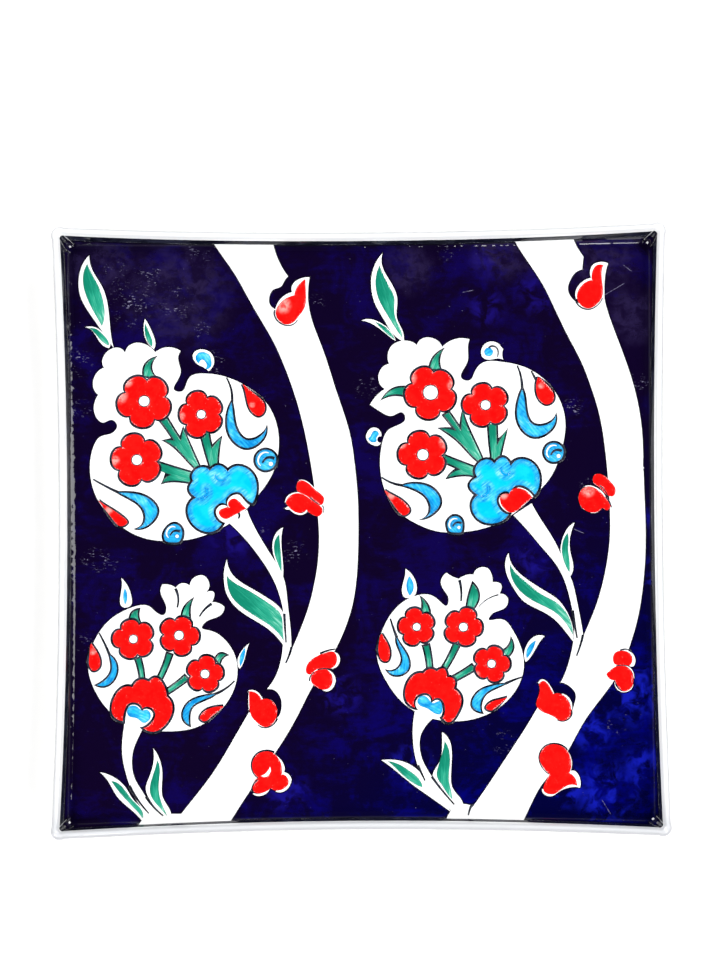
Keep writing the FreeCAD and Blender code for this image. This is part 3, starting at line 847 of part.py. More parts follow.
    # buds on the trunk
    buds("right_trunk", [
        [[(99.3, 108.7), (96.4, 108), (95.2, 105.2), (95.2, 102.5)],
         [(95.2, 102.5), (91.4, 100.8), (89.2, 97.2), (89.8, 93.6), (93.2, 91.4), (96.2, 92.6),
          (98.9, 96.4),
          (98.8, 102), (99.3, 108.7)]],
        [[(94.9, 21), (96, 22.8), (98.4, 22.5), (101.4, 20), (103.5, 16.4), (102.6, 14.3), (100.4, 14.8),
          (97.6, 17.8), (95.4, 19.4), (94.9, 21)]],
        [[(97.8, 9.2), (96.3, 8), (93.6, 7.8), (90.8, 9.2), (89.1, 12.4), (89.9, 16.2), (92.6, 17.8),
          (96.4, 16.4),
          (99.8, 12.8), (101.3, 9.6), (100, 8.6), (97.8, 9.2)]],
        [[(102.4, -52), (103.4, -49.9), (106, -49.3), (108.6, -50.2), (109.7, -52.6), (108.6, -54.8),
          (105.6, -54.7),
          (103, -54.2), (102.4, -52)]],
        [[(99.7, -58.5), (102.4, -56.2), (105.8, -55.3), (108.8, -57), (110, -60.6), (108.8, -64.2),
          (106.2, -65.1),
          (104.2, -63.2), (103, -60.7)], [(103, -60.7), (101.2, -60.4), (99.7, -58.5)]],
        [[(72.4, -62.6), (74, -61.4), (76.2, -63.6), (77.9, -66.8)], [(77.9, -66.8), (80.6, -66.6),
                                        (83.4, -69), (84.8, -73),
          (83.9, -76), (80.8, -76.9), (77.4, -75), (73.6, -73.4), (71.4, -71.2), (72.2, -67),
          (72.4, -62.6)]],
        [[(76.6, -99), (73.8, -96), (72.4, -92.2), (74, -88.6), (78, -87.1), (82, -88.6), (84.4, -92.8),
          (83.7, -98.5)],
         [(83.7, -98.5), (85.8, -100.2), (86.9, -103.3)],
         [(86.9, -103.3), (81.6, -104.2), (77, -106.8), (74, -105.6), (74.6, -102.4), (76.6, -99)]]],
        whites=[
            [[(101.6, 109.6), (98.4, 110.2), (95.2, 108.8), (94.2, 106), (94.6, 103.7)],
             [(94.6, 103.7), (90.8, 101.9), (88.4, 98.6), (88.4, 95.2)], [(88.4, 95.2), (93, 94.4),
                                        (100, 94.8)],
             [(100, 94.8), (100, 100), (100.4, 105), (101.6, 109.6)]],
            [[(106.6, -49.2), (109.6, -49.8), (111.1, -52.2), (110.3, -55.4)], [(110.3, -55.4),
                                        (109, -55.4), (108.4, -52.4),
              (106.6, -49.2)]],
            [[(83.8, -98.2), (86, -97.6), (88.3, -100.6), (88.2, -104.5)],
             [(88.2, -104.5), (84, -104.4), (80, -106), (76.5, -107.9), (73.3, -106.4), (73, -105)],
             [(73, -105), (78, -103), (83.8, -98.2)]]],
        edges=[
            ([(91.2, 18), (93.4, 18.2), (95.8, 17.4), (98, 15.8), (99.6, 13.8)], 0.55),
            ([(93.6, 7.5), (96, 7.7), (97.6, 8.8)], 0.6),
            ([(106.4, -54.9), (109.2, -56.4), (110.5, -60.2)], 0.4),
            ([(102.8, -61.6), (103.4, -64), (105.4, -65.6), (108.2, -65.3), (110.2, -62.8)], 0.35),
            ([(71.9, -62), (73.6, -60.9), (75.8, -62.6), (78, -66.4)], 0.9),
            ([(81.4, -66.4), (84.2, -68.6), (85.2, -72.8)], 0.8), ([(81.6, -88), (84, -91), (84.9, -94.4),
                                        (84.3, -98)], 0.6)],
        hollows=[],
        shadows=[
            ([(88.4, 94), (90.4, 91.6), (93.4, 90.7), (96.4, 91.8), (99.2, 95.4)], 0.7),
            ([(97.4, 18.4), (99.4, 16.4), (100.6, 14.2)], 0.5), ([(100.2, 13.4), (101.3, 11.6),
                                        (102.1, 9.4)], 0.8),
            ([(105, -48.9), (107.4, -48.4), (109.4, -49)], 0.7), ([(103.4, -55.2), (105.8, -54.9),
                                        (108.6, -55.3)], 0.45),
            ([(85.2, -73.2), (84.4, -76.2), (82.2, -77.4), (79.4, -76.9)], 0.7),
            ([(83.4, -89.2), (80.6, -87), (77.6, -86.5), (74, -87.8), (71.9, -91.6), (73, -96),
              (76, -99)], 0.7)])


# ---------------------------------------------------------------- trimming and raising the paint
def apart(a, b):
    """True where two boxes share nothing."""
    return a.XMin > b.XMax or b.XMin > a.XMax or a.YMin > b.YMax or b.YMin > a.YMax


def trim(face, covers):
    """What is left of a face under the covers that lie over it, scraps dropped."""
    near = [cover for cover in covers if not apart(face.BoundBox, cover.BoundBox)]
    shape = face.cut(near) if near else face
    return [piece for piece in shape.Faces if piece.Area > smallest_patch]


def raise_paint(face, thickness, field, over_rim):
    """Solids of one paint thickness on a face: straight up from the flat field, and over the upturned rim."""
    box = face.BoundBox
    reach = max(abs(box.XMin), abs(box.XMax), abs(box.YMin), abs(box.YMax))
    if reach < half_field - max(edge_bow.values()) - rim_run:
        inner, outer = [face], []
    else:
        inner = [piece for piece in face.common(field).Faces if piece.Area > smallest_patch]
        outer = [piece for piece in face.cut(field).Faces if piece.Area > smallest_patch]
    solids = []
    for piece in inner:
        raised = piece.copy()
        raised.translate(Z * face_height)
        solids.extend(raised.extrude(Z * thickness).Solids)
    for piece in outer:
        solids.extend(piece.extrude(Z * sky).common(over_rim).Solids)
    return solids


def build_paint():
    """Every flat painted shape, by node, trimmed under the strokes that lie over it."""
    draw_left()
    draw_right()
    covers = []
    flats = {}
    for fill, edge, outline, width in strokes:
        if isinstance(outline, tuple):
            inside, outside = (flat(shape) for shape in outline)
        else:
            inside = flat(outline)
            outside = flat(grow(outline, width)) if width else inside
        if fill:
            flats.setdefault(fill, []).extend(trim(inside, covers))
        if width and edge:
            flats.setdefault(edge, []).extend(trim(outside, covers + [inside]))
        covers.append(outside)
    picture = flat_ring(border_line + clearance, border_corner)
    ground = picture.cut([flat(outline) for outline in reserves] + covers)
    for piece in ground.Faces:
        if piece.Area < smallest_patch:
            continue
        middle = piece.CenterOfMass.x
        if middle < trunk_places[0]:
            name = "cobalt_left"
        elif middle < trunk_places[1]:
            name = "cobalt_middle"
        else:
            name = "cobalt_right"
        flats.setdefault(name, []).append(piece)
    return flats


def flat_ring(inset, radius):
    return Part.Face(ring(inset, 0.0, 0.0, radius))


def tone(name):
    for word, key in (("cobalt", "cobalt"), ("turquoise", "turquoise"), ("green", "green"), ("red", "red")):
        if word in name:
            return key
    return "line"


def main():
    os.makedirs("parts", exist_ok=True)
    glazed = upper_rings(0.0)
    biscuit = upper_rings(coat_thickness)
    parts["white_coat"] = [Part.makeLoft(glazed + biscuit[::-1], True, True)]
    parts["clay_body"] = [Part.makeLoft(biscuit + [glazed[-1]] + under_rings(), True, True)]
    parts["foot_ring"] = [foot_ring()]
    field = flat_ring(rim_run + 0.5 * overlap, crease_corner)
    over_rim = {}
    for key, thickness in paint.items():
        lower = [ring(rim_run + overlap, face_height, 0.0, crease_corner)] + glazed[:4]
        over_rim[key] = band(lower + [wire.translated(Z * thickness) for wire in lower[::-1]])
    line_rings = glazed[2:4]
    raised_rings = [wire.translated(Z * paint["line"]) for wire in line_rings[::-1]]
    parts["black_border_line"] = [band(line_rings + raised_rings)]
    for name, faces in build_paint().items():
        key = tone(name)
        for face in faces:
            parts.setdefault(name, []).extend(raise_paint(face, paint[key], field, over_rim[key]))
    for name, solids in parts.items():
        shape = Part.makeCompound(solids) if len(solids) > 1 else solids[0]
        shape.exportStep(f"parts/{name}.step")
        print(name, len(solids), "solids", round(sum(s.Volume for s in solids), 1), "mm3", shape.isValid())


main()
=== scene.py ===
import bpy
import math
import numpy as np
from mathutils import Matrix, Vector, noise
from mathutils.bvhtree import BVHTree
from mathutils.geometry import delaunay_2d_cdt
from mathutils.kdtree import KDTree


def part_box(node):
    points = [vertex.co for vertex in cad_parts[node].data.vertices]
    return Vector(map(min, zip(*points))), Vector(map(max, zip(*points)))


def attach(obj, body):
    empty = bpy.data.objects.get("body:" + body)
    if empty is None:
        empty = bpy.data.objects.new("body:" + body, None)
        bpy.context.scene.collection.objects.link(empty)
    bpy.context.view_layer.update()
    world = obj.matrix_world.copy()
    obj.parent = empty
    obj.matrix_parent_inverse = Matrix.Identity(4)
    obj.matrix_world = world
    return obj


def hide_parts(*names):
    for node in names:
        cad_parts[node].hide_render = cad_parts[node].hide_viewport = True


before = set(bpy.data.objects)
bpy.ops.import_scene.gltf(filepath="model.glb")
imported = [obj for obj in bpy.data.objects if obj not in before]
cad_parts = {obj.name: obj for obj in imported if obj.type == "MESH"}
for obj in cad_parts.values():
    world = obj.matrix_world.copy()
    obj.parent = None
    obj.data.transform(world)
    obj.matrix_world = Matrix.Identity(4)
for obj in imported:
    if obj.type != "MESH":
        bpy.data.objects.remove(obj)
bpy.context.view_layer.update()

MM = 0.001

# ------------------------------------------------------------------ plate dimensions, millimetres
low_corner, high_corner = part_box("white_coat")
LIP_RUN = 3.5
CORNER_BULGE = 0.15     # how far the coat's box reaches past the lip of the straight corner
HALF_FIELD = (high_corner.x - low_corner.x) / 2 / MM - LIP_RUN - CORNER_BULGE
EDGE_BOW = {"right": 2.2, "top": 2.5, "left": 2.9, "bottom": 3.9}
CORNER_LIFT = 4.6
FACE_HEIGHT = 11.0
RIM_RUN = 4.0
RIM_RISE = 3.4
LIP_TOP = FACE_HEIGHT + RIM_RISE + 1.9
COAT = 0.45
UNDER_HEIGHT = 4.0
BORDER_LINE = 1.2
CREASE_CORNER = 3.4
LIP_CORNER = 5.2
PAINT_SEAM = RIM_RUN + 0.3     # where the CAD paint of the face meets the paint of the rim
SEAM_REACH = 0.22              # and how far its points may lie from that ring


# ------------------------------------------------------------------ rings of the plate
def edge_place(side, along, half, bow_share):
    out = half - bow_share * EDGE_BOW[side] * (1 - (along / half) ** 2)
    return {"right": (out, along), "top": (-along, out),
            "left": (-out, -along), "bottom": (along, -out)}[side]


def arc_through(start, middle, finish, count):
    """Points of the circle arc through three points, without its last one."""
    ax, ay = start
    bx, by = middle
    cx, cy = finish
    d = 2 * (ax * (by - cy) + bx * (cy - ay) + cx * (ay - by))
    a, b, c = ax * ax + ay * ay, bx * bx + by * by, cx * cx + cy * cy
    ux = (a * (by - cy) + b * (cy - ay) + c * (ay - by)) / d
    uy = (a * (cx - bx) + b * (ax - cx) + c * (bx - ax)) / d
    radius = math.hypot(ax - ux, ay - uy)
    first = math.atan2(ay - uy, ax - ux)
    turn = (math.atan2(cy - uy, cx - ux) - first) % (2 * math.pi)
    angles = [first + turn * k / count for k in range(count)]
    return [(ux + radius * math.cos(angle), uy + radius * math.sin(angle)) for angle in angles]


EDGE_STEPS = 56
CORNER_STEPS = 14
CORNER_PULL = 0.146     # share by which the middle of a corner arc moves out to the square corner


def ring(inset, height, lift, radius):
    """Points round the plate at one distance from the painted edge, in metres."""
    half = HALF_FIELD - inset
    radius = min(radius, 0.6 * half)
    bow_share = min(1.0, (half / (HALF_FIELD - 2 * RIM_RUN)) ** 2)
    reach = half - radius
    sides = ("right", "top", "left", "bottom")
    points = []
    for side, following in zip(sides, sides[1:] + sides[:1]):
        for k in range(EDGE_STEPS):
            # closer together towards the corners
            t = -math.cos(math.pi * k / EDGE_STEPS) * 0.35 + (2 * k / EDGE_STEPS - 1) * 0.65
            points.append(edge_place(side, reach * t, half, bow_share))
        start = edge_place(side, reach, half, bow_share)
        finish = edge_place(following, -reach, half, bow_share)
        corner = edge_place(side, half, half, bow_share)
        middle = [0.5 * corner[i] + 0.25 * (start[i] + finish[i]) for i in (0, 1)]
        middle = [middle[i] + CORNER_PULL * (corner[i] - 0.5 * (start[i] + finish[i])) for i in (0, 1)]
        points.extend(arc_through(start, middle, finish, CORNER_STEPS))
    result = []
    for x, y in points:
        share = abs(x * y) / half ** 2
        result.append(Vector((x, y, height + lift * share ** 3)) * MM)
    return result


def smooth_section(stations, steps):
    """More stations between the given ones, on a smooth curve through them."""
    rows = []
    last = len(stations) - 1
    for k in range(last):
        before, here, after, beyond = (np.array(stations[min(max(k + i, 0), last)]) for i in (-1, 0, 1, 2))
        for j in range(steps):
            t = j / steps
            square = 2 * before - 5 * here + 4 * after - beyond
            cube = 3 * here - before - 3 * after + beyond
            rows.append(0.5 * (2 * here + (after - before) * t + square * t ** 2 + cube * t ** 3))
    rows.append(np.array(stations[-1]))
    return [tuple(float(v) for v in row) for row in rows]


FACE_INSETS = (119.5, 108, 92, 76, 60, 46, 34, 24, 16, 10, 6.5, 5.0)
BASE_INSETS = (36, 50, 66, 84, 104, 119.5)
RIM_STEPS = 4
UNDER_STEPS = 5
LIP_END = (-0.30 * LIP_RUN, LIP_TOP - 4.9, 0.90 * CORNER_LIFT, LIP_CORNER)


def upper_stations(skin):
    """Inset, height, corner lift and corner radius from the middle of the face to under the lip."""
    out = LIP_RUN - skin
    edge = FACE_HEIGHT + RIM_RISE
    inner = [(inset, FACE_HEIGHT - skin, 0.0, 1.1 * CREASE_CORNER) for inset in FACE_INSETS]
    return inner + smooth_section([
        (RIM_RUN, FACE_HEIGHT - skin, 0.0, CREASE_CORNER),
        (0.62 * RIM_RUN, FACE_HEIGHT + 0.13 * RIM_RISE - skin, 0.20 * CORNER_LIFT, 3.0),
        (BORDER_LINE, FACE_HEIGHT + 0.47 * RIM_RISE - skin, 0.62 * CORNER_LIFT, 2.6),
        (0.0, edge - skin, CORNER_LIFT, 1.9),
        (-0.28 * LIP_RUN, LIP_TOP - 0.4 - skin, 1.04 * CORNER_LIFT, 0.55 * LIP_CORNER),
        (-0.58 * LIP_RUN, LIP_TOP - skin, 1.05 * CORNER_LIFT, 0.72 * LIP_CORNER),
        (-0.88 * out, LIP_TOP - 0.7 - 0.8 * skin, 1.04 * CORNER_LIFT, 0.92 * LIP_CORNER),
        (-out, LIP_TOP - 2.1, CORNER_LIFT, LIP_CORNER),
        (-0.86 * out, LIP_TOP - 3.5, 0.96 * CORNER_LIFT, LIP_CORNER),
        (-0.30 * out, LIP_TOP - 4.9 + 0.5 * skin, 0.90 * CORNER_LIFT, LIP_CORNER)], RIM_STEPS)


def under_stations():
    """The same four measures for the underside, from the end of the coat to the middle."""
    outer = smooth_section([
        LIP_END,
        (3.0, 7.6, 0.24 * CORNER_LIFT, 6.2),
        (9.0, 5.6, 0.06 * CORNER_LIFT, 11.0),
        (17.0, 4.5, 0.0, 19.0),
        (25.0, UNDER_HEIGHT, 0.0, 27.0)], UNDER_STEPS)
    return outer + [(inset, UNDER_HEIGHT, 0.0, 27.0) for inset in BASE_INSETS]


EVEN_FROM = 0.965       # share of the half field beyond which the face is even
EVEN_OVER = 0.15        # and the share over which the waves fade out
SLOW_WAVE = 0.10        # height of the waves, millimetres
QUICK_WAVE = 0.022


def hand_made(point):
    """Slow unevenness of the hand finished face, in metres; none at the rim."""
    share = max(abs(point.x), abs(point.y)) / (HALF_FIELD * MM)
    fade = max(0.0, min(1.0, (EVEN_FROM - share) / EVEN_OVER))
    slow = noise.noise(Vector((point.x * 14 + 3.1, point.y * 14, 0.4)))
    quick = noise.noise(Vector((point.x * 55, point.y * 55 + 9.2, 1.7)))
    return (SLOW_WAVE * slow + QUICK_WAVE * quick) * MM * fade


def smooth_piece(name, points, faces):
    mesh = bpy.data.meshes.new(name)
    mesh.from_pydata(points, [], faces)
    mesh.validate()
    mesh.polygons.foreach_set("use_smooth", [True] * len(mesh.polygons))
    mesh.update()
    piece = bpy.data.objects.new(name, mesh)
    bpy.context.scene.collection.objects.link(piece)
    return piece


def skin_mesh(name, rings, uneven):
    """Closed mesh whose skin runs through the rings, the first and the last filled in.

    The first rings, as many as uneven says, take the slow waves of a hand made face.
    """
    count = len(rings[0])
    vertices = [p.copy() for row in rings for p in row]
    if uneven:
        for p in vertices[:uneven * count]:
            p.z += hand_made(p)
    faces = []
    for r in range(len(rings) - 1):
        for k in range(count):
            a, b = r * count + k, r * count + (k + 1) % count
            faces.append((a, a + count, b + count, b))
    faces.append(tuple(range(count)))
    faces.append(tuple(reversed(range((len(rings) - 1) * count, len(rings) * count))))
    return smooth_piece(name, vertices, faces)


upper = [ring(*station) for station in upper_stations(0.0)]
inner_skin = [ring(*station) for station in upper_stations(COAT)]
under = [ring(*station) for station in under_stations()]

LIP_RINGS = 12     # rings of the lip's far side, which stay even
coat = skin_mesh("glazed_coat", upper + inner_skin[::-1], len(upper) - LIP_RINGS)
body = skin_mesh("fired_body", inner_skin + under, 0)
# millimetres outside the painted edge, where the white glaze paints shade on the lip
stations = upper_stations(0.0) + upper_stations(COAT)[::-1]
outside = np.repeat([-station[0] for station in stations], len(upper[0]))
coat.data.attributes.new("lip_place", "FLOAT", "POINT").data.foreach_set("value", outside)


def rounded_square_points(half, radius, height, steps=10):
    points = []
    for k in range(4):
        cx = (half - radius) * (1, -1, -1, 1)[k]
        cy = (half - radius) * (1, 1, -1, -1)[k]
        for j in range(steps + 1):
            angle = math.pi / 2 * (k + j / steps)
            x, y = cx + radius * math.cos(angle), cy + radius * math.sin(angle)
            points.append(Vector((x, y, height)) * MM)
    return points


FOOT_WIDTH = 7.5
FOOT_CORNER = 26.0
FOOT_CORNER_INSIDE = 20.0
FOOT_FLARE = 0.8            # how much wider the foot is where it joins the body
# one side of the foot's section from its top to the tread: distance in from the side, and height
FOOT_SECTION = (
    (-FOOT_FLARE, UNDER_HEIGHT + 0.3), (-0.3, 2.6), (0.0, 1.2), (0.35, 0.45), (0.9, 0.05), (1.6, 0.0))


def make_foot():
    """Foot ring: a rounded wall, a closed loop of rings."""
    outer_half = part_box("foot_ring")[1].x / MM - FOOT_FLARE
    inner_half = outer_half - FOOT_WIDTH
    rows = [rounded_square_points(outer_half - step, FOOT_CORNER, height) for step, height in FOOT_SECTION]
    rows += [rounded_square_points(inner_half + step, FOOT_CORNER_INSIDE, height)
             for step, height in FOOT_SECTION[::-1]]
    count = len(rows[0])
    faces = []
    for r in range(len(rows)):
        for k in range(count):
            a, b = r * count + k, r * count + (k + 1) % count
            following = ((r + 1) % len(rows)) * count
            faces.append((a, b, following + (k + 1) % count, following + k))
    return smooth_piece("luted_foot", [p for row in rows for p in row], faces)


foot = make_foot()

# ------------------------------------------------------------------ paint laid on the coat
DOWN = Vector((0, 0, -1))
ABOVE_PLATE = 0.05      # metres; rays on to the coat start here
coat_tree = BVHTree.FromPolygons([v.co for v in coat.data.vertices],
                                 [tuple(p.vertices) for p in coat.data.polygons][:len(upper) * len(upper[0])])


def coat_height(x, y):
    hit = coat_tree.ray_cast(Vector((x, y, ABOVE_PLATE)), DOWN)[0]
    return hit.z if hit else FACE_HEIGHT * MM


SEAM_STEPS = 12


def crease_tree():
    """Tree of close places along the ring where the paint of the face and of the rim meet."""
    points = ring(PAINT_SEAM, FACE_HEIGHT, 0.0, CREASE_CORNER)
    dense = []
    for a, b in zip(points, points[1:] + points[:1]):
        dense.extend(a.lerp(b, k / SEAM_STEPS) for k in range(SEAM_STEPS))
    tree = KDTree(len(dense))
    for k, p in enumerate(dense):
        tree.insert((p.x, p.y, 0), k)
    tree.balance()
    return tree


CREASE = crease_tree()


def inset_of(x, y):
    """How far inside the painted edge a place lies, in millimetres."""
    x, y = x / MM, y / MM
    return min(HALF_FIELD - EDGE_BOW[side] * (1 - (along / HALF_FIELD) ** 2) - out for side, out, along in (
        ("right", x, y), ("top", y, x), ("left", -x, y), ("bottom", -y, x)))


RIM_CLIMB = 0.6      # paint that rises more than this above the face reaches the upturned rim


def reaches_rim(node):
    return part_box(node)[1].z > (FACE_HEIGHT + RIM_CLIMB) * MM


def rim_points(spacing=0.9):
    """Evenly spread points on rings round the upturned rim, so that the paint follows its curve."""
    points = []
    for inset in RIM_ROWS:
        row = ring(inset, 0.0, 0.0, CREASE_CORNER)
        for a, b in zip(row, row[1:] + row[:1]):
            steps = max(1, round((b - a).length / (spacing * MM)))
            points.extend(a.lerp(b, k / steps) for k in range(steps))
    return points


RIM_ROWS = (1.6, 2.05, 2.5, 2.95, 3.4, 3.85, 4.4, 5.1)     # insets, millimetres
RIM_POINTS = rim_points()

MERGE = 2e-3         # points of the CAD mesh closer than this in plan count as one, millimetres
UPWARD = 0.25        # faces whose normal rises more than this are the painted top


def painted_outline(node):
    """Points and edges, seen from above, round the painted patches of a CAD node, and their tree."""
    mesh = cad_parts[node].data
    mesh.calc_loop_triangles()
    place = np.empty(len(mesh.vertices) * 3, np.float64)
    mesh.vertices.foreach_get("co", place)
    place = place.reshape(-1, 3)
    corners = np.empty(len(mesh.loop_triangles) * 3, np.int64)
    mesh.loop_triangles.foreach_get("vertices", corners)
    corners = corners.reshape(-1, 3)
    a, b, c = (place[corners[:, k]] for k in range(3))
    normal = np.cross(b - a, c - a)
    size = np.linalg.norm(normal, axis=1)
    good = size > 1e-14
    upward = np.zeros(len(size), bool)
    upward[good] = normal[good, 2] / size[good] > UPWARD
    flat = np.round(place[:, :2] / (MERGE * MM)).astype(np.int64)
    _, first, merged = np.unique(flat, axis=0, return_index=True, return_inverse=True)
    points = place[first, :2]
    triangles = merged.reshape(-1)[corners[upward]].tolist()
    patches = BVHTree.FromPolygons([(x, y, 0) for x, y in points], triangles)
    # an edge walked once in each direction lies inside a patch
    seen = {}
    for tri in triangles:
        for a, b in zip(tri, tri[1:] + tri[:1]):
            if a == b:
                continue
            if (b, a) in seen:
                del seen[(b, a)]
            else:
                seen[(a, b)] = True
    on_seam = {}
    if reaches_rim(node):
        for k in {k for edge in seen for k in edge}:
            on_seam[k] = CREASE.find((points[k][0], points[k][1], 0))[2] < SEAM_REACH * MM
    edges = [edge for edge in seen if not (on_seam.get(edge[0]) and on_seam.get(edge[1]))]
    return points, edges, patches


def dense_outline(points, edges, step):
    """The outline again, its long edges divided."""
    used = sorted({k for edge in edges for k in edge})
    number = {k: i for i, k in enumerate(used)}
    places = [tuple(points[k]) for k in used]
    result = []
    for a, b in edges:
        start, end = points[a], points[b]
        parts = max(1, int(math.ceil(math.hypot(*(end - start)) / step)))
        before = number[a]
        for k in range(1, parts):
            places.append(tuple(start + (end - start) * k / parts))
            result.append((before, len(places) - 1))
            before = len(places) - 1
        result.append((before, number[b]))
    return places, result


def painted_at(patches, point):
    """Whether the patches cover a place; hairline gaps along the seam at the crease count as covered."""
    def covered(x, y):
        return patches.ray_cast(Vector((x, y, 1)), DOWN)[0] is not None

    x, y = point.x, point.y
    if covered(x, y):
        return True
    if CREASE.find((x, y, 0))[2] > SEAM_REACH * MM:
        return False
    dx, dy = (SEAM_REACH * MM, 0.0) if abs(x) > abs(y) else (0.0, SEAM_REACH * MM)
    return covered(x - dx, y - dy) and covered(x + dx, y + dy)


EDGE_FILM = 0.05     # thickness of every deposit at its very edge, millimetres
SKIRT = 0.14         # how far the side of a deposit goes down from its edge, into the coat
SHOULDER_POWER = 1.4
OUTLINE_STEP = 0.55
ROW_HEIGHT = 0.87    # distance between grid rows, as a share of the grid


def edge_tree(places, edges):
    """Tree of places along the outline, for the distance from its edge to any place."""
    tree = KDTree(len(edges) * 4)
    for a, b in edges:
        start, end = Vector(places[a]), Vector(places[b])
        for k in range(4):
            p = start.lerp(end, k / 4)
            tree.insert((p.x, p.y, 0), 0)
    tree.balance()
    return tree


def film_points(places, edges, gap, grid, rows, on_rim):
    """Places inside the outline: rows along its edge, a grid, and the rings of the rim."""
    inside = []
    for a, b in edges:
        start, end = Vector(places[a]), Vector(places[b])
        along = (end - start)
        if along.length < 1e-7:
            continue
        along.normalize()
        inward = Vector((-along.y, along.x))
        middle = (start + end) / 2
        for row in rows:
            p = middle + inward * row * MM
            if gap(p) > 0.9 * row * MM:
                inside.append((p.x, p.y))
    low = np.min(np.array(places), axis=0)
    high = np.max(np.array(places), axis=0)
    across = int((high[0] - low[0]) / (grid * MM)) + 1
    down = int((high[1] - low[1]) / (grid * ROW_HEIGHT * MM)) + 1
    clear = (rows[-1] + 0.45 * grid) * MM
    for j in range(down):
        for i in range(across):
            x = low[0] + (i + 0.5 * (j % 2)) * grid * MM
            y = low[1] + j * ROW_HEIGHT * grid * MM
            if gap((x, y)) > clear and not (on_rim and inset_of(x, y) < RIM_ROWS[-1] + 0.4):
                inside.append((x, y))
    if on_rim:
        inside.extend((p.x, p.y) for p in RIM_POINTS if gap(p) > (rows[-1] + 0.1) * MM)
    return inside


def film_height(p, gap, thickness, shoulder, lumps):
    """Thickness of a deposit in millimetres, gap millimetres in from its edge."""
    uneven = 1.0
    x, y = p.x / MM, p.y / MM
    if lumps:
        uneven += lumps * noise.noise(Vector((x * 0.45, y * 0.45, thickness * 7)))
        uneven += 0.5 * lumps * noise.noise(Vector((x * 1.3, y * 1.3, thickness * 3)))
    return EDGE_FILM + thickness * (1 - math.exp(-(gap / shoulder) ** SHOULDER_POWER)) * uneven


def add_skirt(points, faces):
    """Side walls from the open edges of the faces down; returns all faces, and adds to the points."""
    directed = {}
    for face in faces:
        for k in range(len(face)):
            directed[(face[k], face[(k + 1) % len(face)])] = True
    lower = {}
    faces = [tuple(face) for face in faces]
    for a, b in list(directed):
        if (b, a) in directed:
            continue
        for k in (a, b):
            if k not in lower:
                lower[k] = len(points)
                points.append(points[k] - Vector((0, 0, SKIRT * MM)))
        faces.append((b, a, lower[a], lower[b]))
    return faces


def paint_film(node, name, thickness, shoulder, grid, rows, lumps):
    """Brushed deposit over the outline of a CAD paint node: rounded at its edge, uneven on top."""
    points, edges, patches = painted_outline(node)
    places, edges = dense_outline(points, edges, OUTLINE_STEP * MM)
    tree = edge_tree(places, edges)

    def gap(p):
        return tree.find((p[0], p[1], 0))[2]

    places += film_points(places, edges, gap, grid, rows, reaches_rim(node))
    flat, _, faces, _, _, _ = delaunay_2d_cdt([Vector(p) for p in places], edges, [], 0, 1e-7)
    middles = [sum((flat[k] for k in face), Vector((0, 0))) / len(face) for face in faces]
    faces = [face for face, middle in zip(faces, middles) if painted_at(patches, middle)]
    edge_gap = [gap(p) / MM for p in flat]
    film = []
    for p, d in zip(flat, edge_gap):
        z = coat_height(p.x, p.y) + film_height(p, d, thickness, shoulder, lumps) * MM
        film.append(Vector((p.x, p.y, z)))
    faces = add_skirt(film, faces)
    edge_gap += [0.0] * (len(film) - len(edge_gap))
    piece = smooth_piece(name, film, faces)
    piece.data.attributes.new("edge_gap", "FLOAT", "POINT").data.foreach_set("value", edge_gap)
    add_patch_grain(piece.data, faces)
    return piece


def patches_of(count, faces):
    """The points of each connected patch."""
    parent = list(range(count))

    def root(k):
        while parent[k] != k:
            parent[k] = parent[parent[k]]
            k = parent[k]
        return k

    for face in faces:
        top = root(face[0])
        for k in face[1:]:
            parent[root(k)] = top
    groups = {}
    for k in range(count):
        groups.setdefault(root(k), []).append(k)
    return groups.values()


def add_patch_grain(mesh, faces):
    """patch_grain: millimetres along and across a patch's long way, and the share of its half length."""
    points = np.array([v.co[:] for v in mesh.vertices])
    grain = np.zeros((len(points), 3))
    for members in patches_of(len(points), faces):
        if len(members) < 3:
            continue
        from_middle = points[members, :2] - points[members, :2].mean(0)
        _, axes = np.linalg.eigh(np.cov(from_middle.T))
        heading = axes[:, 1] if axes[1, 1] < 0 else -axes[:, 1]      # the long way, towards -Y
        side = np.array([-heading[1], heading[0]])
        grain[members, 0] = from_middle @ heading / MM
        grain[members, 1] = from_middle @ side / MM
        grain[members, 2] = grain[members, 0] / (np.abs(grain[members, 0]).max() or 1.0)
    mesh.attributes.new("patch_grain", "FLOAT_VECTOR", "POINT").data.foreach_set("vector", grain.ravel())


# ------------------------------------------------------------------ materials
def linear(red, green, blue):
    """Scene linear colour of an 8 bit display colour."""
    def one(v):
        v /= 255
        return v / 12.92 if v <= 0.04045 else ((v + 0.055) / 1.055) ** 2.4
    return (one(red), one(green), one(blue), 1.0)


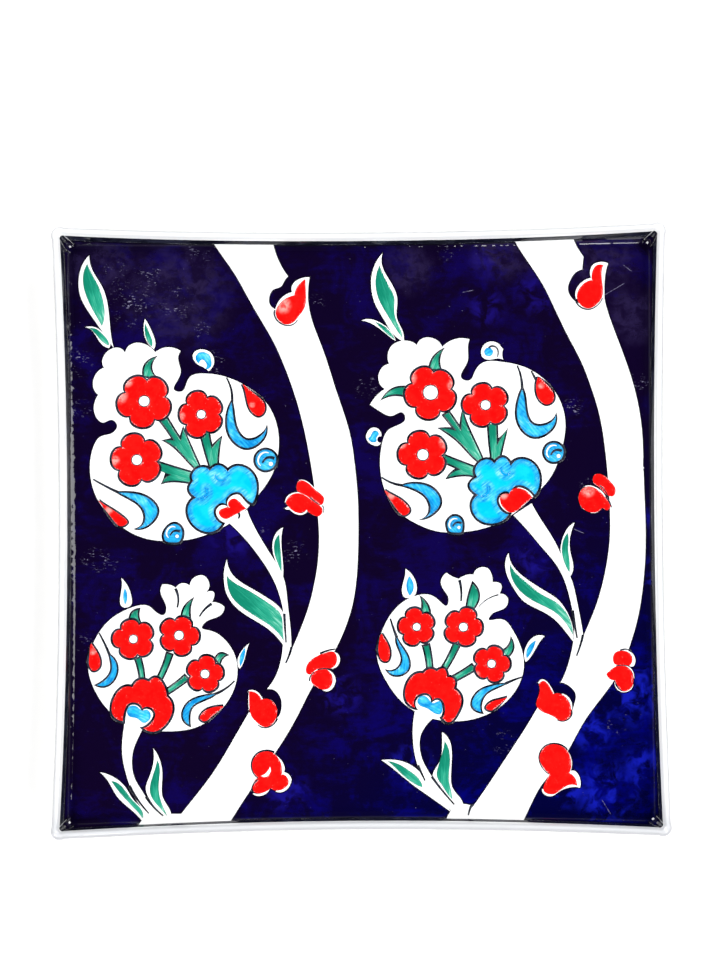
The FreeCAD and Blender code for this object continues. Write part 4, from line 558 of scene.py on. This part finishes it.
class Glaze:
    """One material: a Principled surface under a clear glaze, with helpers that add its pattern nodes."""

    def __init__(self, name, roughness=0.35, coat=1.0, coat_roughness=0.035):
        self.material = bpy.data.materials.new(name)
        self.material.use_nodes = True
        self.tree = self.material.node_tree
        self.shader = self.tree.nodes["Principled BSDF"]
        self.shader.inputs["Roughness"].default_value = roughness
        self.shader.inputs["Coat Weight"].default_value = coat
        self.shader.inputs["Coat Roughness"].default_value = coat_roughness
        self.shader.inputs["Coat IOR"].default_value = 1.5
        self.shader.inputs["Specular IOR Level"].default_value = 0.25
        self.place = self.add("ShaderNodeTexCoord").outputs["Object"]

    def add(self, kind, **settings):
        node = self.tree.nodes.new(kind)
        for key, value in settings.items():
            setattr(node, key, value)
        return node

    def feed(self, socket, value):
        if isinstance(value, bpy.types.NodeSocket):
            self.tree.links.new(value, socket)
        else:
            socket.default_value = value

    def stretched(self, scale, turn):
        node = self.add("ShaderNodeMapping")
        self.feed(node.inputs["Vector"], self.place)
        node.inputs["Scale"].default_value = scale
        node.inputs["Rotation"].default_value = (0, 0, math.radians(turn))
        return node.outputs[0]

    def noise(self, size, detail=3.0, roughness=0.55, distortion=0.0, at=None):
        """Noise whose features are about size millimetres across."""
        node = self.add("ShaderNodeTexNoise")
        self.feed(node.inputs["Vector"], at or self.place)
        node.inputs["Scale"].default_value = 1 / (size * MM) if at is None else 1.0
        node.inputs["Detail"].default_value = detail
        node.inputs["Roughness"].default_value = roughness
        node.inputs["Distortion"].default_value = distortion
        return node.outputs["Fac"]

    def streaks(self, size, ratio, turn, detail=3.0):
        """Brush streaks: noise drawn out by ratio along one heading."""
        short, long = 1 / (size * MM), 1 / (size * ratio * MM)
        return self.noise(1, detail, 0.6, 0.4, self.stretched((long, short, short), turn))

    def grain(self, size, ratio, detail=3.0):
        """Streaks drawn out by ratio along the long way of each painted patch."""
        node = self.add("ShaderNodeMapping")
        self.feed(node.inputs["Vector"], self.named("patch_grain", "Vector"))
        node.inputs["Scale"].default_value = (1 / (size * ratio), 1 / size, 0.0)
        return self.noise(1, detail, 0.6, 0.3, node.outputs[0])

    def band(self, value, low, high, to_low=0.0, to_high=1.0):
        node = self.add("ShaderNodeMapRange", interpolation_type="SMOOTHSTEP")
        self.feed(node.inputs[0], value)
        for k, v in enumerate((low, high, to_low, to_high)):
            node.inputs[k + 1].default_value = v
        return node.outputs[0]

    def calc(self, operation, a, b=0.0):
        node = self.add("ShaderNodeMath", operation=operation)
        self.feed(node.inputs[0], a)
        self.feed(node.inputs[1], b)
        return node.outputs[0]

    def times(self, *values):
        product = values[0]
        for value in values[1:]:
            product = self.calc("MULTIPLY", product, value)
        return product

    def plus(self, *values):
        total = values[0]
        for value in values[1:]:
            total = self.calc("ADD", total, value)
        return total

    def blend(self, share, a, b):
        node = self.add("ShaderNodeMix", data_type="RGBA", blend_type="MIX")
        self.feed(node.inputs[0], share)
        self.feed(node.inputs[6], a)
        self.feed(node.inputs[7], b)
        return node.outputs[2]

    def split(self, vector):
        node = self.add("ShaderNodeSeparateXYZ")
        self.feed(node.inputs[0], vector)
        return node.outputs

    def named(self, name, socket):
        return self.add("ShaderNodeAttribute", attribute_name=name).outputs[socket]

    def near(self, x, y, radius):
        """1 at a place of the plate, given in millimetres, falling to 0 at radius."""
        node = self.add("ShaderNodeVectorMath", operation="DISTANCE")
        self.feed(node.inputs[0], self.place)
        node.inputs[1].default_value = (x * MM, y * MM, FACE_HEIGHT * MM)
        return self.band(node.outputs["Value"], 0.25 * radius * MM, radius * MM, 1.0, 0.0)

    def scratch(self, start, end, width):
        """1 along a short straight line between two places in millimetres, broken up by noise."""
        length = math.hypot(end[0] - start[0], end[1] - start[1])
        heading = ((end[0] - start[0]) / length, (end[1] - start[1]) / length)
        middle = ((start[0] + end[0]) / 2 * MM, (start[1] + end[1]) / 2 * MM)
        x, y, _ = self.split(self.place)
        dx, dy = self.calc("SUBTRACT", x, middle[0]), self.calc("SUBTRACT", y, middle[1])
        along = self.plus(self.times(dx, heading[0]), self.times(dy, heading[1]))
        across = self.calc("SUBTRACT", self.times(dx, heading[1]), self.times(dy, heading[0]))
        ends = self.band(self.calc("ABSOLUTE", along), 0.35 * length * MM, 0.5 * length * MM, 1.0, 0.0)
        sides = self.band(self.calc("ABSOLUTE", across), 0.2 * width * MM, width * MM, 1.0, 0.0)
        return self.times(ends, sides, self.band(self.noise(1.4), 0.40, 0.55, 0.25, 0.9))

    def any_near(self, places):
        """1 near any of the places, each given as x, y and radius in millimetres."""
        total = None
        for x, y, radius in places:
            here = self.near(x, y, radius)
            total = here if total is None else self.calc("MAXIMUM", total, here)
        return total

    def finish(self, colour, roughness=None, relief=None, relief_mm=0.1, strength=0.6):
        self.feed(self.shader.inputs["Base Color"], colour)
        if roughness is not None:
            self.feed(self.shader.inputs["Roughness"], roughness)
        if relief is not None:
            bump = self.add("ShaderNodeBump")
            bump.inputs["Strength"].default_value = strength
            bump.inputs["Distance"].default_value = relief_mm * MM
            self.feed(bump.inputs["Height"], relief)
            self.feed(self.shader.inputs["Normal"], bump.outputs[0])
            self.feed(self.shader.inputs["Coat Normal"], bump.outputs[0])
        return self.material


# painted shade for the white lip: a grey for its top and a darker grey for its steep outer side
LIP_PAINTED_SHADE = (0.57, 0.58, 0.60, 1)
LIP_SIDE_PAINTED_SHADE = (0.38, 0.385, 0.41, 1)


def white_glaze():
    g = Glaze("white_glaze", roughness=0.30)
    cloud = g.band(g.noise(26, 3.0), 0.35, 0.70)
    colour = g.blend(cloud, (0.90, 0.905, 0.90, 1), (0.86, 0.875, 0.885, 1))
    speck = g.band(g.noise(1.6, 2.0, 0.6), 0.735, 0.80)
    colour = g.blend(g.times(speck, 0.10), colour, (0.45, 0.42, 0.38, 1))
    # painted shade on the lip: a grey, strongest along the lower edge of the plate, so that it stands out
    # from the pale floor
    lip = g.named("lip_place", "Fac")
    upright = g.split(g.add("ShaderNodeNewGeometry").outputs["Normal"])[2]
    near_edge_shade = g.band(g.split(g.place)[1], -0.122, -0.105, 1.0, 0.35)
    colour = g.blend(g.times(g.band(lip, 0.0, 0.4), near_edge_shade), colour, LIP_PAINTED_SHADE)
    # painted shade on the lip's steep outer side, where its surface turns away from the light
    side = g.times(g.band(lip, 0.5, 1.5), g.band(upright, 0.45, 0.99, 1.0, 0.0))
    colour = g.blend(side, colour, LIP_SIDE_PAINTED_SHADE)
    relief = g.plus(g.noise(17, 2.0), g.times(g.noise(1.1, 2.0), 0.05))
    return g.finish(colour, relief=relief, relief_mm=0.12, strength=0.5)


# places on the cobalt, each x, y and radius in millimetres
THIN_PLACES = [
    (54, 112, 12), (73, 98, 13), (71, -11, 12), (99, -107, 17), (112, -66, 18), (118, 8, 9), (118, -18, 9),
    (93, -80, 13), (-52, -2, 12), (20, -95, 12), (52, 92, 11), (84, -104, 11), (-8, -66, 12), (-30, -105, 12),
    (50, -60, 9), (116, -96, 14)]
# places of the painted reflection on the cobalt, each x, y and radius in millimetres
SHEEN_PLACES = [(98, 112, 22), (-106, 112, 20), (-74, 98, 30), (112, 88, 16), (60, 118, 20), (20, 108, 14)]
# places of painted glints on the cobalt's brush relief, each x, y and radius in millimetres
GLINT_PLACES = [
    (-93, 94, 12), (-74, 95, 9), (-65, 115, 7), (-114, 70, 7), (-113, 51, 5), (-59, 70, 6), (-64, 83, 5),
    (-112, -44, 5), (-110, -9, 5), (-104, -12, 7), (-40, 4, 5), (-26, -9, 7), (58, -86, 6), (87, 51, 5),
    (114, 61, 5), (36, 116, 6), (-85, 106, 8), (-105, 60, 5), (-100, 107, 7), (3, 60, 6), (-46, 40, 6),
    (103, -80, 5), (-18, 94, 5), (92, 19, 3.5)]
# fine scratches through the cobalt, each from one place to another in millimetres
SCRATCHES = [
    ((99.5, 96.2), (108.6, 101.6)), ((107.5, 109), (111.5, 106)), ((97, -109.2), (100.8, -115.6)),
    ((86.5, 0.8), (91, -1.2)), ((42, 98), (47, 99))]
SCRATCH_WIDTH = 0.22


def cobalt_glaze():
    g = Glaze("cobalt_glaze", roughness=0.32, coat_roughness=0.03)
    g.shader.inputs["Specular IOR Level"].default_value = 0.0
    x, y, _ = g.split(g.place)
    # bluer towards the lower right of the plate, nearly black at the upper left
    slope = g.calc("SUBTRACT", g.times(x, 0.8), y)
    bluer = g.band(slope, 0.03, 0.17)
    dark = g.blend(bluer, linear(11, 3, 30), linear(2, 2, 46))
    mid = g.blend(bluer, linear(12, 4, 62), linear(2, 3, 96))
    bright = g.blend(bluer, linear(26, 16, 116), linear(14, 22, 148))
    pools = g.noise(21, 4.0, 0.62, 0.8)
    strokes = g.streaks(2.2, 5.0, 52, 4.0)
    mottle = g.noise(2.3, 3.0, 0.6)
    depth = g.plus(g.times(pools, 0.66), g.times(strokes, 0.20), g.times(mottle, 0.14))
    colour = g.blend(g.band(depth, 0.46, 0.64), dark, mid)
    thin = g.times(g.any_near(THIN_PLACES), g.band(g.noise(6, 3.0, 0.6, 0.6), 0.42, 0.66))
    colour = g.blend(g.times(thin, g.band(bluer, 0.0, 1.0, 0.55, 1.0)), colour, bright)
    # painted reflection: a greyish sheen here and there along the upper part of the plate
    painted_sheen = g.times(g.any_near(SHEEN_PLACES), g.band(g.noise(5, 4.0, 0.65, 0.4), 0.38, 0.68, 0.15, 0.75))
    colour = g.blend(g.times(painted_sheen, 0.5), colour, linear(52, 42, 84))
    # a dark line along the edges
    edge = g.band(g.named("edge_gap", "Fac"), 0.25, 0.75, 0.9, 0.0)
    colour = g.blend(edge, colour, linear(8, 6, 18))
    # painted glints: pale grains on the brush relief at the listed places, then lone pale dots, and the
    # scratches
    grain = g.times(g.band(g.streaks(0.75, 2.2, 28, 3.0), 0.56, 0.68), g.band(g.noise(3.2, 3.0), 0.46, 0.6))
    glints_dots_and_scratches = g.times(g.any_near(GLINT_PLACES), grain)
    lone = g.band(g.noise(0.9, 2.0, 0.5), 0.765, 0.83)
    glints_dots_and_scratches = g.calc("MAXIMUM", glints_dots_and_scratches, g.times(lone, 0.6))
    for start, end in SCRATCHES:
        glints_dots_and_scratches = g.calc("MAXIMUM", glints_dots_and_scratches, g.times(g.scratch(start, end, SCRATCH_WIDTH), 0.7))
    colour = g.blend(g.times(glints_dots_and_scratches, 0.62), colour, linear(150, 146, 176))
    relief = g.plus(g.times(strokes, 0.5), g.times(mottle, 0.35))
    relief = g.calc("SUBTRACT", relief, g.times(glints_dots_and_scratches, 0.35))
    rough = g.band(glints_dots_and_scratches, 0.0, 1.0, 0.30, 0.55)
    return g.finish(colour, rough, relief, 0.05, 0.5)


def outline_black():
    g = Glaze("outline_black", roughness=0.35)
    g.shader.inputs["Specular IOR Level"].default_value = 0.0
    load = g.plus(g.times(g.noise(3.4, 3.0), 0.7), g.times(g.noise(0.8, 2.0), 0.3))
    colour = g.blend(g.band(load, 0.38, 0.66), linear(10, 13, 22), linear(50, 54, 66))
    return g.finish(colour, relief=load, relief_mm=0.06, strength=0.5)


def border_black():
    g = Glaze("border_black", roughness=0.3, coat_roughness=0.14)
    g.shader.inputs["Specular IOR Level"].default_value = 0.0
    load = g.noise(4.5, 3.0)
    colour = g.blend(g.band(load, 0.38, 0.66), linear(10, 12, 22), linear(34, 36, 50))
    return g.finish(colour, relief=load, relief_mm=0.08, strength=0.5)


# places of paler, pinkish red on the petals, each x, y and radius in millimetres
PALE_PLACES = [
    (-97.6, 56.5, 4.2), (-94.5, 62.5, 3.2), (-76, 60, 4.0), (-72.5, 48, 2.2), (-99.5, 30, 2.6),
    (-43.5, 52.5, 1.6), (-102, 9.5, 2.2), (-30.8, 93.2, 4.2), (20.5, 63, 3.6), (38.5, 60, 3.4),
    (34.8, 36.5, 3.4), (17, 36, 2.6),
    (45, 57, 2.6), (92.6, 16.2, 3.4), (12.5, 15.3, 2.8), (74, 59.5, 1.8), (58.5, 14.6, 2.2), (15.6, -43, 2.4),
    (47, -58.5, 2.0), (-108.5, -48, 1.8)]


def red_slip():
    g = Glaze("red_slip", roughness=0.30, coat_roughness=0.06)
    g.shader.inputs["Specular IOR Level"].default_value = 0.1
    body = g.noise(2.6, 4.0, 0.6)
    colour = g.blend(g.band(body, 0.36, 0.66), linear(236, 8, 8), linear(252, 18, 14))
    pale_share = g.band(g.noise(2.2, 3.0, 0.6, 0.4), 0.36, 0.60, 0.2, 1.0)
    colour = g.blend(g.times(g.any_near(PALE_PLACES), pale_share, 0.9), colour, linear(248, 158, 150))
    grain = g.band(g.noise(0.85, 2.0, 0.6), 0.60, 0.75)
    colour = g.blend(g.times(grain, 0.10), colour, linear(255, 92, 70))
    edge = g.band(g.named("edge_gap", "Fac"), 0.0, 0.35, 0.45, 0.0)
    colour = g.blend(edge, colour, linear(150, 10, 18))
    relief = g.plus(body, g.times(grain, 0.3))
    return g.finish(colour, relief=relief, relief_mm=0.16, strength=0.7)


def turquoise_glaze():
    g = Glaze("turquoise_glaze", roughness=0.28)
    g.shader.inputs["Specular IOR Level"].default_value = 0.1
    wash = g.noise(6.5, 4.0, 0.6, 0.5)
    brush = g.grain(0.7, 9.0)
    gap = g.named("edge_gap", "Fac")
    broad = g.band(gap, 1.3, 2.8)
    colour = g.blend(g.band(wash, 0.40, 0.62), linear(0, 178, 234), linear(14, 192, 242))
    # the narrow hooks and curls are streaked with deep and pale blue
    depth = g.plus(g.times(wash, 0.45), g.times(brush, 0.55))
    streaked = g.blend(g.band(depth, 0.38, 0.56), linear(6, 120, 190), linear(48, 178, 226))
    streaked = g.blend(g.band(depth, 0.52, 0.66), streaked, linear(130, 214, 238))
    colour = g.blend(broad, streaked, colour)
    narrow = g.band(gap, 0.1, 0.7, 0.5, 0.0)
    colour = g.blend(narrow, colour, linear(10, 120, 180))
    # a paler line just inside the edge, here and there
    rim_light = g.times(g.band(gap, 0.5, 1.1), g.band(gap, 1.4, 2.4, 1.0, 0.0))
    rim_light = g.times(rim_light, g.band(g.noise(4.5, 2.0), 0.48, 0.66, 0.0, 0.45))
    colour = g.blend(rim_light, colour, linear(96, 216, 246))
    return g.finish(colour, relief=depth, relief_mm=0.05, strength=0.5)


def blue_wash():
    g = Glaze("blue_wash", roughness=0.28)
    g.shader.inputs["Specular IOR Level"].default_value = 0.1
    colour = g.blend(g.band(g.noise(1.2, 2.0), 0.4, 0.6), linear(0, 132, 200), linear(4, 156, 220))
    return g.finish(colour)


def green_glaze():
    g = Glaze("green_glaze", roughness=0.28)
    g.shader.inputs["Specular IOR Level"].default_value = 0.1
    _, across, share = g.split(g.named("patch_grain", "Vector"))
    streak = g.grain(0.42, 16.0, 4.0)
    broad = g.grain(1.6, 7.0, 2.0)
    # paler towards one end of each leaf
    end = g.times(g.band(share, -0.9, 0.9, -0.5, 0.5), 0.34)
    tone = g.plus(g.times(streak, 0.75), g.times(broad, 0.45), end, g.times(across, 0.022))
    colour = g.blend(g.band(tone, 0.44, 0.74), linear(14, 118, 94), linear(40, 152, 124))
    colour = g.blend(g.band(tone, 0.70, 0.94), colour, linear(140, 208, 186))
    edge = g.band(g.named("edge_gap", "Fac"), 0.0, 0.4, 0.45, 0.0)
    colour = g.blend(edge, colour, linear(10, 96, 80))
    return g.finish(colour, relief=streak, relief_mm=0.04, strength=0.5)


def bare_foot():
    g = Glaze("bare_foot", roughness=0.85, coat=0.0)
    cloud = g.noise(12, 4.0)
    colour = g.blend(g.band(cloud, 0.35, 0.68), linear(226, 217, 200), linear(206, 193, 172))
    grain = g.noise(0.5, 3.0, 0.7)
    colour = g.blend(g.band(grain, 0.60, 0.76, 0.0, 0.35), colour, linear(160, 142, 120))
    return g.finish(colour, relief=grain, relief_mm=0.10, strength=0.8)


def glazed_body():
    g = Glaze("glazed_body", roughness=0.32)
    cloud = g.band(g.noise(22, 3.0), 0.35, 0.70)
    colour = g.blend(cloud, linear(240, 237, 229), linear(230, 226, 216))
    speck = g.band(g.noise(1.2, 2.0, 0.6), 0.70, 0.78)
    colour = g.blend(g.times(speck, 0.35), colour, linear(150, 132, 110))
    relief = g.plus(g.noise(14, 3.0), g.times(g.noise(0.9, 2.0), 0.06))
    return g.finish(colour, relief=relief, relief_mm=0.2, strength=0.5)


# ------------------------------------------------------------------ pieces on the frame
def dress(piece, material, slot, *nodes):
    piece.data.materials.clear()
    piece.data.materials.append(material)
    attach(piece, "root")
    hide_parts(*nodes)


WHITE, COBALT, BLACK, BORDER = white_glaze(), cobalt_glaze(), outline_black(), border_black()
RED, TURQUOISE, GREEN, CURLS = red_slip(), turquoise_glaze(), green_glaze(), blue_wash()

dress(coat, WHITE, "white_glaze", "white_coat")
dress(body, glazed_body(), "white_clay", "clay_body")
dress(foot, bare_foot(), "bare_foot", "foot_ring")

# word in the node's name: material, slot, thickness, shoulder, grid and edge rows in millimetres, lumps
PAINTS = {
    "border_line": (BORDER, "border_black", 0.10, 0.20, 1.2, (0.14,), 0.25),
    "outlines": (BLACK, "outline_black", 0.12, 0.24, 1.2, (0.14,), 0.30),
    "blue_curls": (CURLS, "blue_wash", 0.19, 0.16, 1.2, (0.14,), 0.20),
    "cobalt": (COBALT, "cobalt_glaze", 0.12, 0.30, 1.5, (0.16, 0.6), 0.35),
    "turquoise": (TURQUOISE, "turquoise_glaze", 0.16, 0.42, 0.8, (0.14, 0.45), 0.30),
    "green": (GREEN, "green_glaze", 0.13, 0.34, 0.8, (0.14, 0.40), 0.30),
    "red": (RED, "red_slip", 0.30, 0.66, 0.7, (0.12, 0.32, 0.65), 0.25),
}
for node in sorted(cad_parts):
    for word, (material, slot, thickness, shoulder, grid, rows, lumps) in PAINTS.items():
        if word in node:
            film = paint_film(node, "painted_" + node, thickness, shoulder, grid, rows, lumps)
            dress(film, material, slot, node)
            break


# ------------------------------------------------------------------ floor, light and camera
def stage_plane(name, size, height, material):
    mesh = bpy.data.meshes.new(name)
    corners = [(-size, -size, height), (size, -size, height), (size, size, height), (-size, size, height)]
    mesh.from_pydata(corners, [], [(0, 1, 2, 3)])
    plane = bpy.data.objects.new(name, mesh)
    plane.data.materials.append(material)
    bpy.context.scene.collection.objects.link(plane)


def plain(name, colour, roughness):
    material = bpy.data.materials.new(name)
    material.use_nodes = True
    shader = material.node_tree.nodes["Principled BSDF"]
    shader.inputs["Base Color"].default_value = colour
    shader.inputs["Roughness"].default_value = roughness
    shader.inputs["Specular IOR Level"].default_value = 0.0
    return material


stage_plane("floor", 12.0, 0.0, plain("pale_floor", (0.93, 0.93, 0.93, 1), 1.0))
# dark flag above the camera, so that the flat face does not mirror a bright ceiling
stage_plane("flag", 1.1, 4.2, plain("flag_cloth", (0.002, 0.002, 0.002, 1), 1.0))


def soft_light(name, place, size, power):
    """Rectangular lamp that faces the middle of the plate."""
    data = bpy.data.lights.new(name, "AREA")
    data.shape = "RECTANGLE"
    data.size, data.size_y = size
    data.energy = power
    lamp = bpy.data.objects.new(name, data)
    lamp.location = place
    lamp.rotation_euler = (-Vector(place)).to_track_quat("-Z", "Y").to_euler()
    bpy.context.scene.collection.objects.link(lamp)


# four even lights off the corners of the plate, where its upturned rims do not mirror them
for name, x, y in (("front_left", -1.45, -1.45), ("front_right", 1.45, -1.45),
                   ("back_left", -1.45, 1.45), ("back_right", 1.45, 1.45)):
    soft_light(name, place=(x, y, 1.5), size=(0.9, 0.9), power=43)
# narrow panels that the left rim and the right end of the top rim do mirror
soft_light("right_slot", place=(1.9, 0.32, 1.4), size=(0.20, 2.4), power=9)
soft_light("near_slot", place=(0.22, -2.0, 1.2), size=(0.2, 0.5), power=4)

world = bpy.data.worlds.new("studio")
bpy.context.scene.world = world
world.use_nodes = True
sky = world.node_tree.nodes["Background"]
height_ramp = world.node_tree.nodes.new("ShaderNodeValToRGB")
height_split = world.node_tree.nodes.new("ShaderNodeSeparateXYZ")
direction = world.node_tree.nodes.new("ShaderNodeTexCoord")
world.node_tree.links.new(direction.outputs["Generated"], height_split.inputs[0])
world.node_tree.links.new(height_split.outputs["Z"], height_ramp.inputs[0])
world.node_tree.links.new(height_ramp.outputs["Color"], sky.inputs["Color"])
height_ramp.color_ramp.elements[0].position = 0.10
height_ramp.color_ramp.elements[0].color = (0.30, 0.30, 0.31, 1)
height_ramp.color_ramp.elements[1].position = 0.32
height_ramp.color_ramp.elements[1].color = (0.02, 0.02, 0.022, 1)
sky.inputs["Strength"].default_value = 1.0

view = bpy.context.scene.view_settings
view.view_transform = "Standard"
view.look = "None"

CAMERA_TILT = math.radians(7.0)
CAMERA_YAW = math.radians(1.0)
CAMERA_ROLL = 0.0047
CAMERA_DISTANCE = 3.0
LENS = 277.52
LOOK_ABOVE = 20.974     # how far above and to the right of the plate's middle the camera looks, millimetres
LOOK_RIGHT = 0.053


def make_camera():
    data = bpy.data.cameras.new("camera")
    data.lens = LENS
    data.clip_end = 100
    away = Vector((math.sin(CAMERA_YAW), -math.sin(CAMERA_TILT), 0))
    away.z = math.sqrt(1 - away.length_squared)
    middle = Vector((0, 0, (FACE_HEIGHT + 1.5) * MM))
    place = middle + away * CAMERA_DISTANCE
    up_hint = Vector((math.sin(CAMERA_ROLL), math.cos(CAMERA_ROLL), 0))
    back = away
    right = up_hint.cross(back).normalized()
    up = back.cross(right)
    target = middle + (up * LOOK_ABOVE + right * LOOK_RIGHT) * MM
    back = (place - target).normalized()
    right = up_hint.cross(back).normalized()
    up = back.cross(right)
    camera = bpy.data.objects.new("camera", data)
    camera.matrix_world = Matrix((
        (right.x, up.x, back.x, place.x), (right.y, up.y, back.y, place.y),
        (right.z, up.z, back.z, place.z), (0, 0, 0, 1)))
    bpy.context.scene.collection.objects.link(camera)
    bpy.context.scene.camera = camera


make_camera()
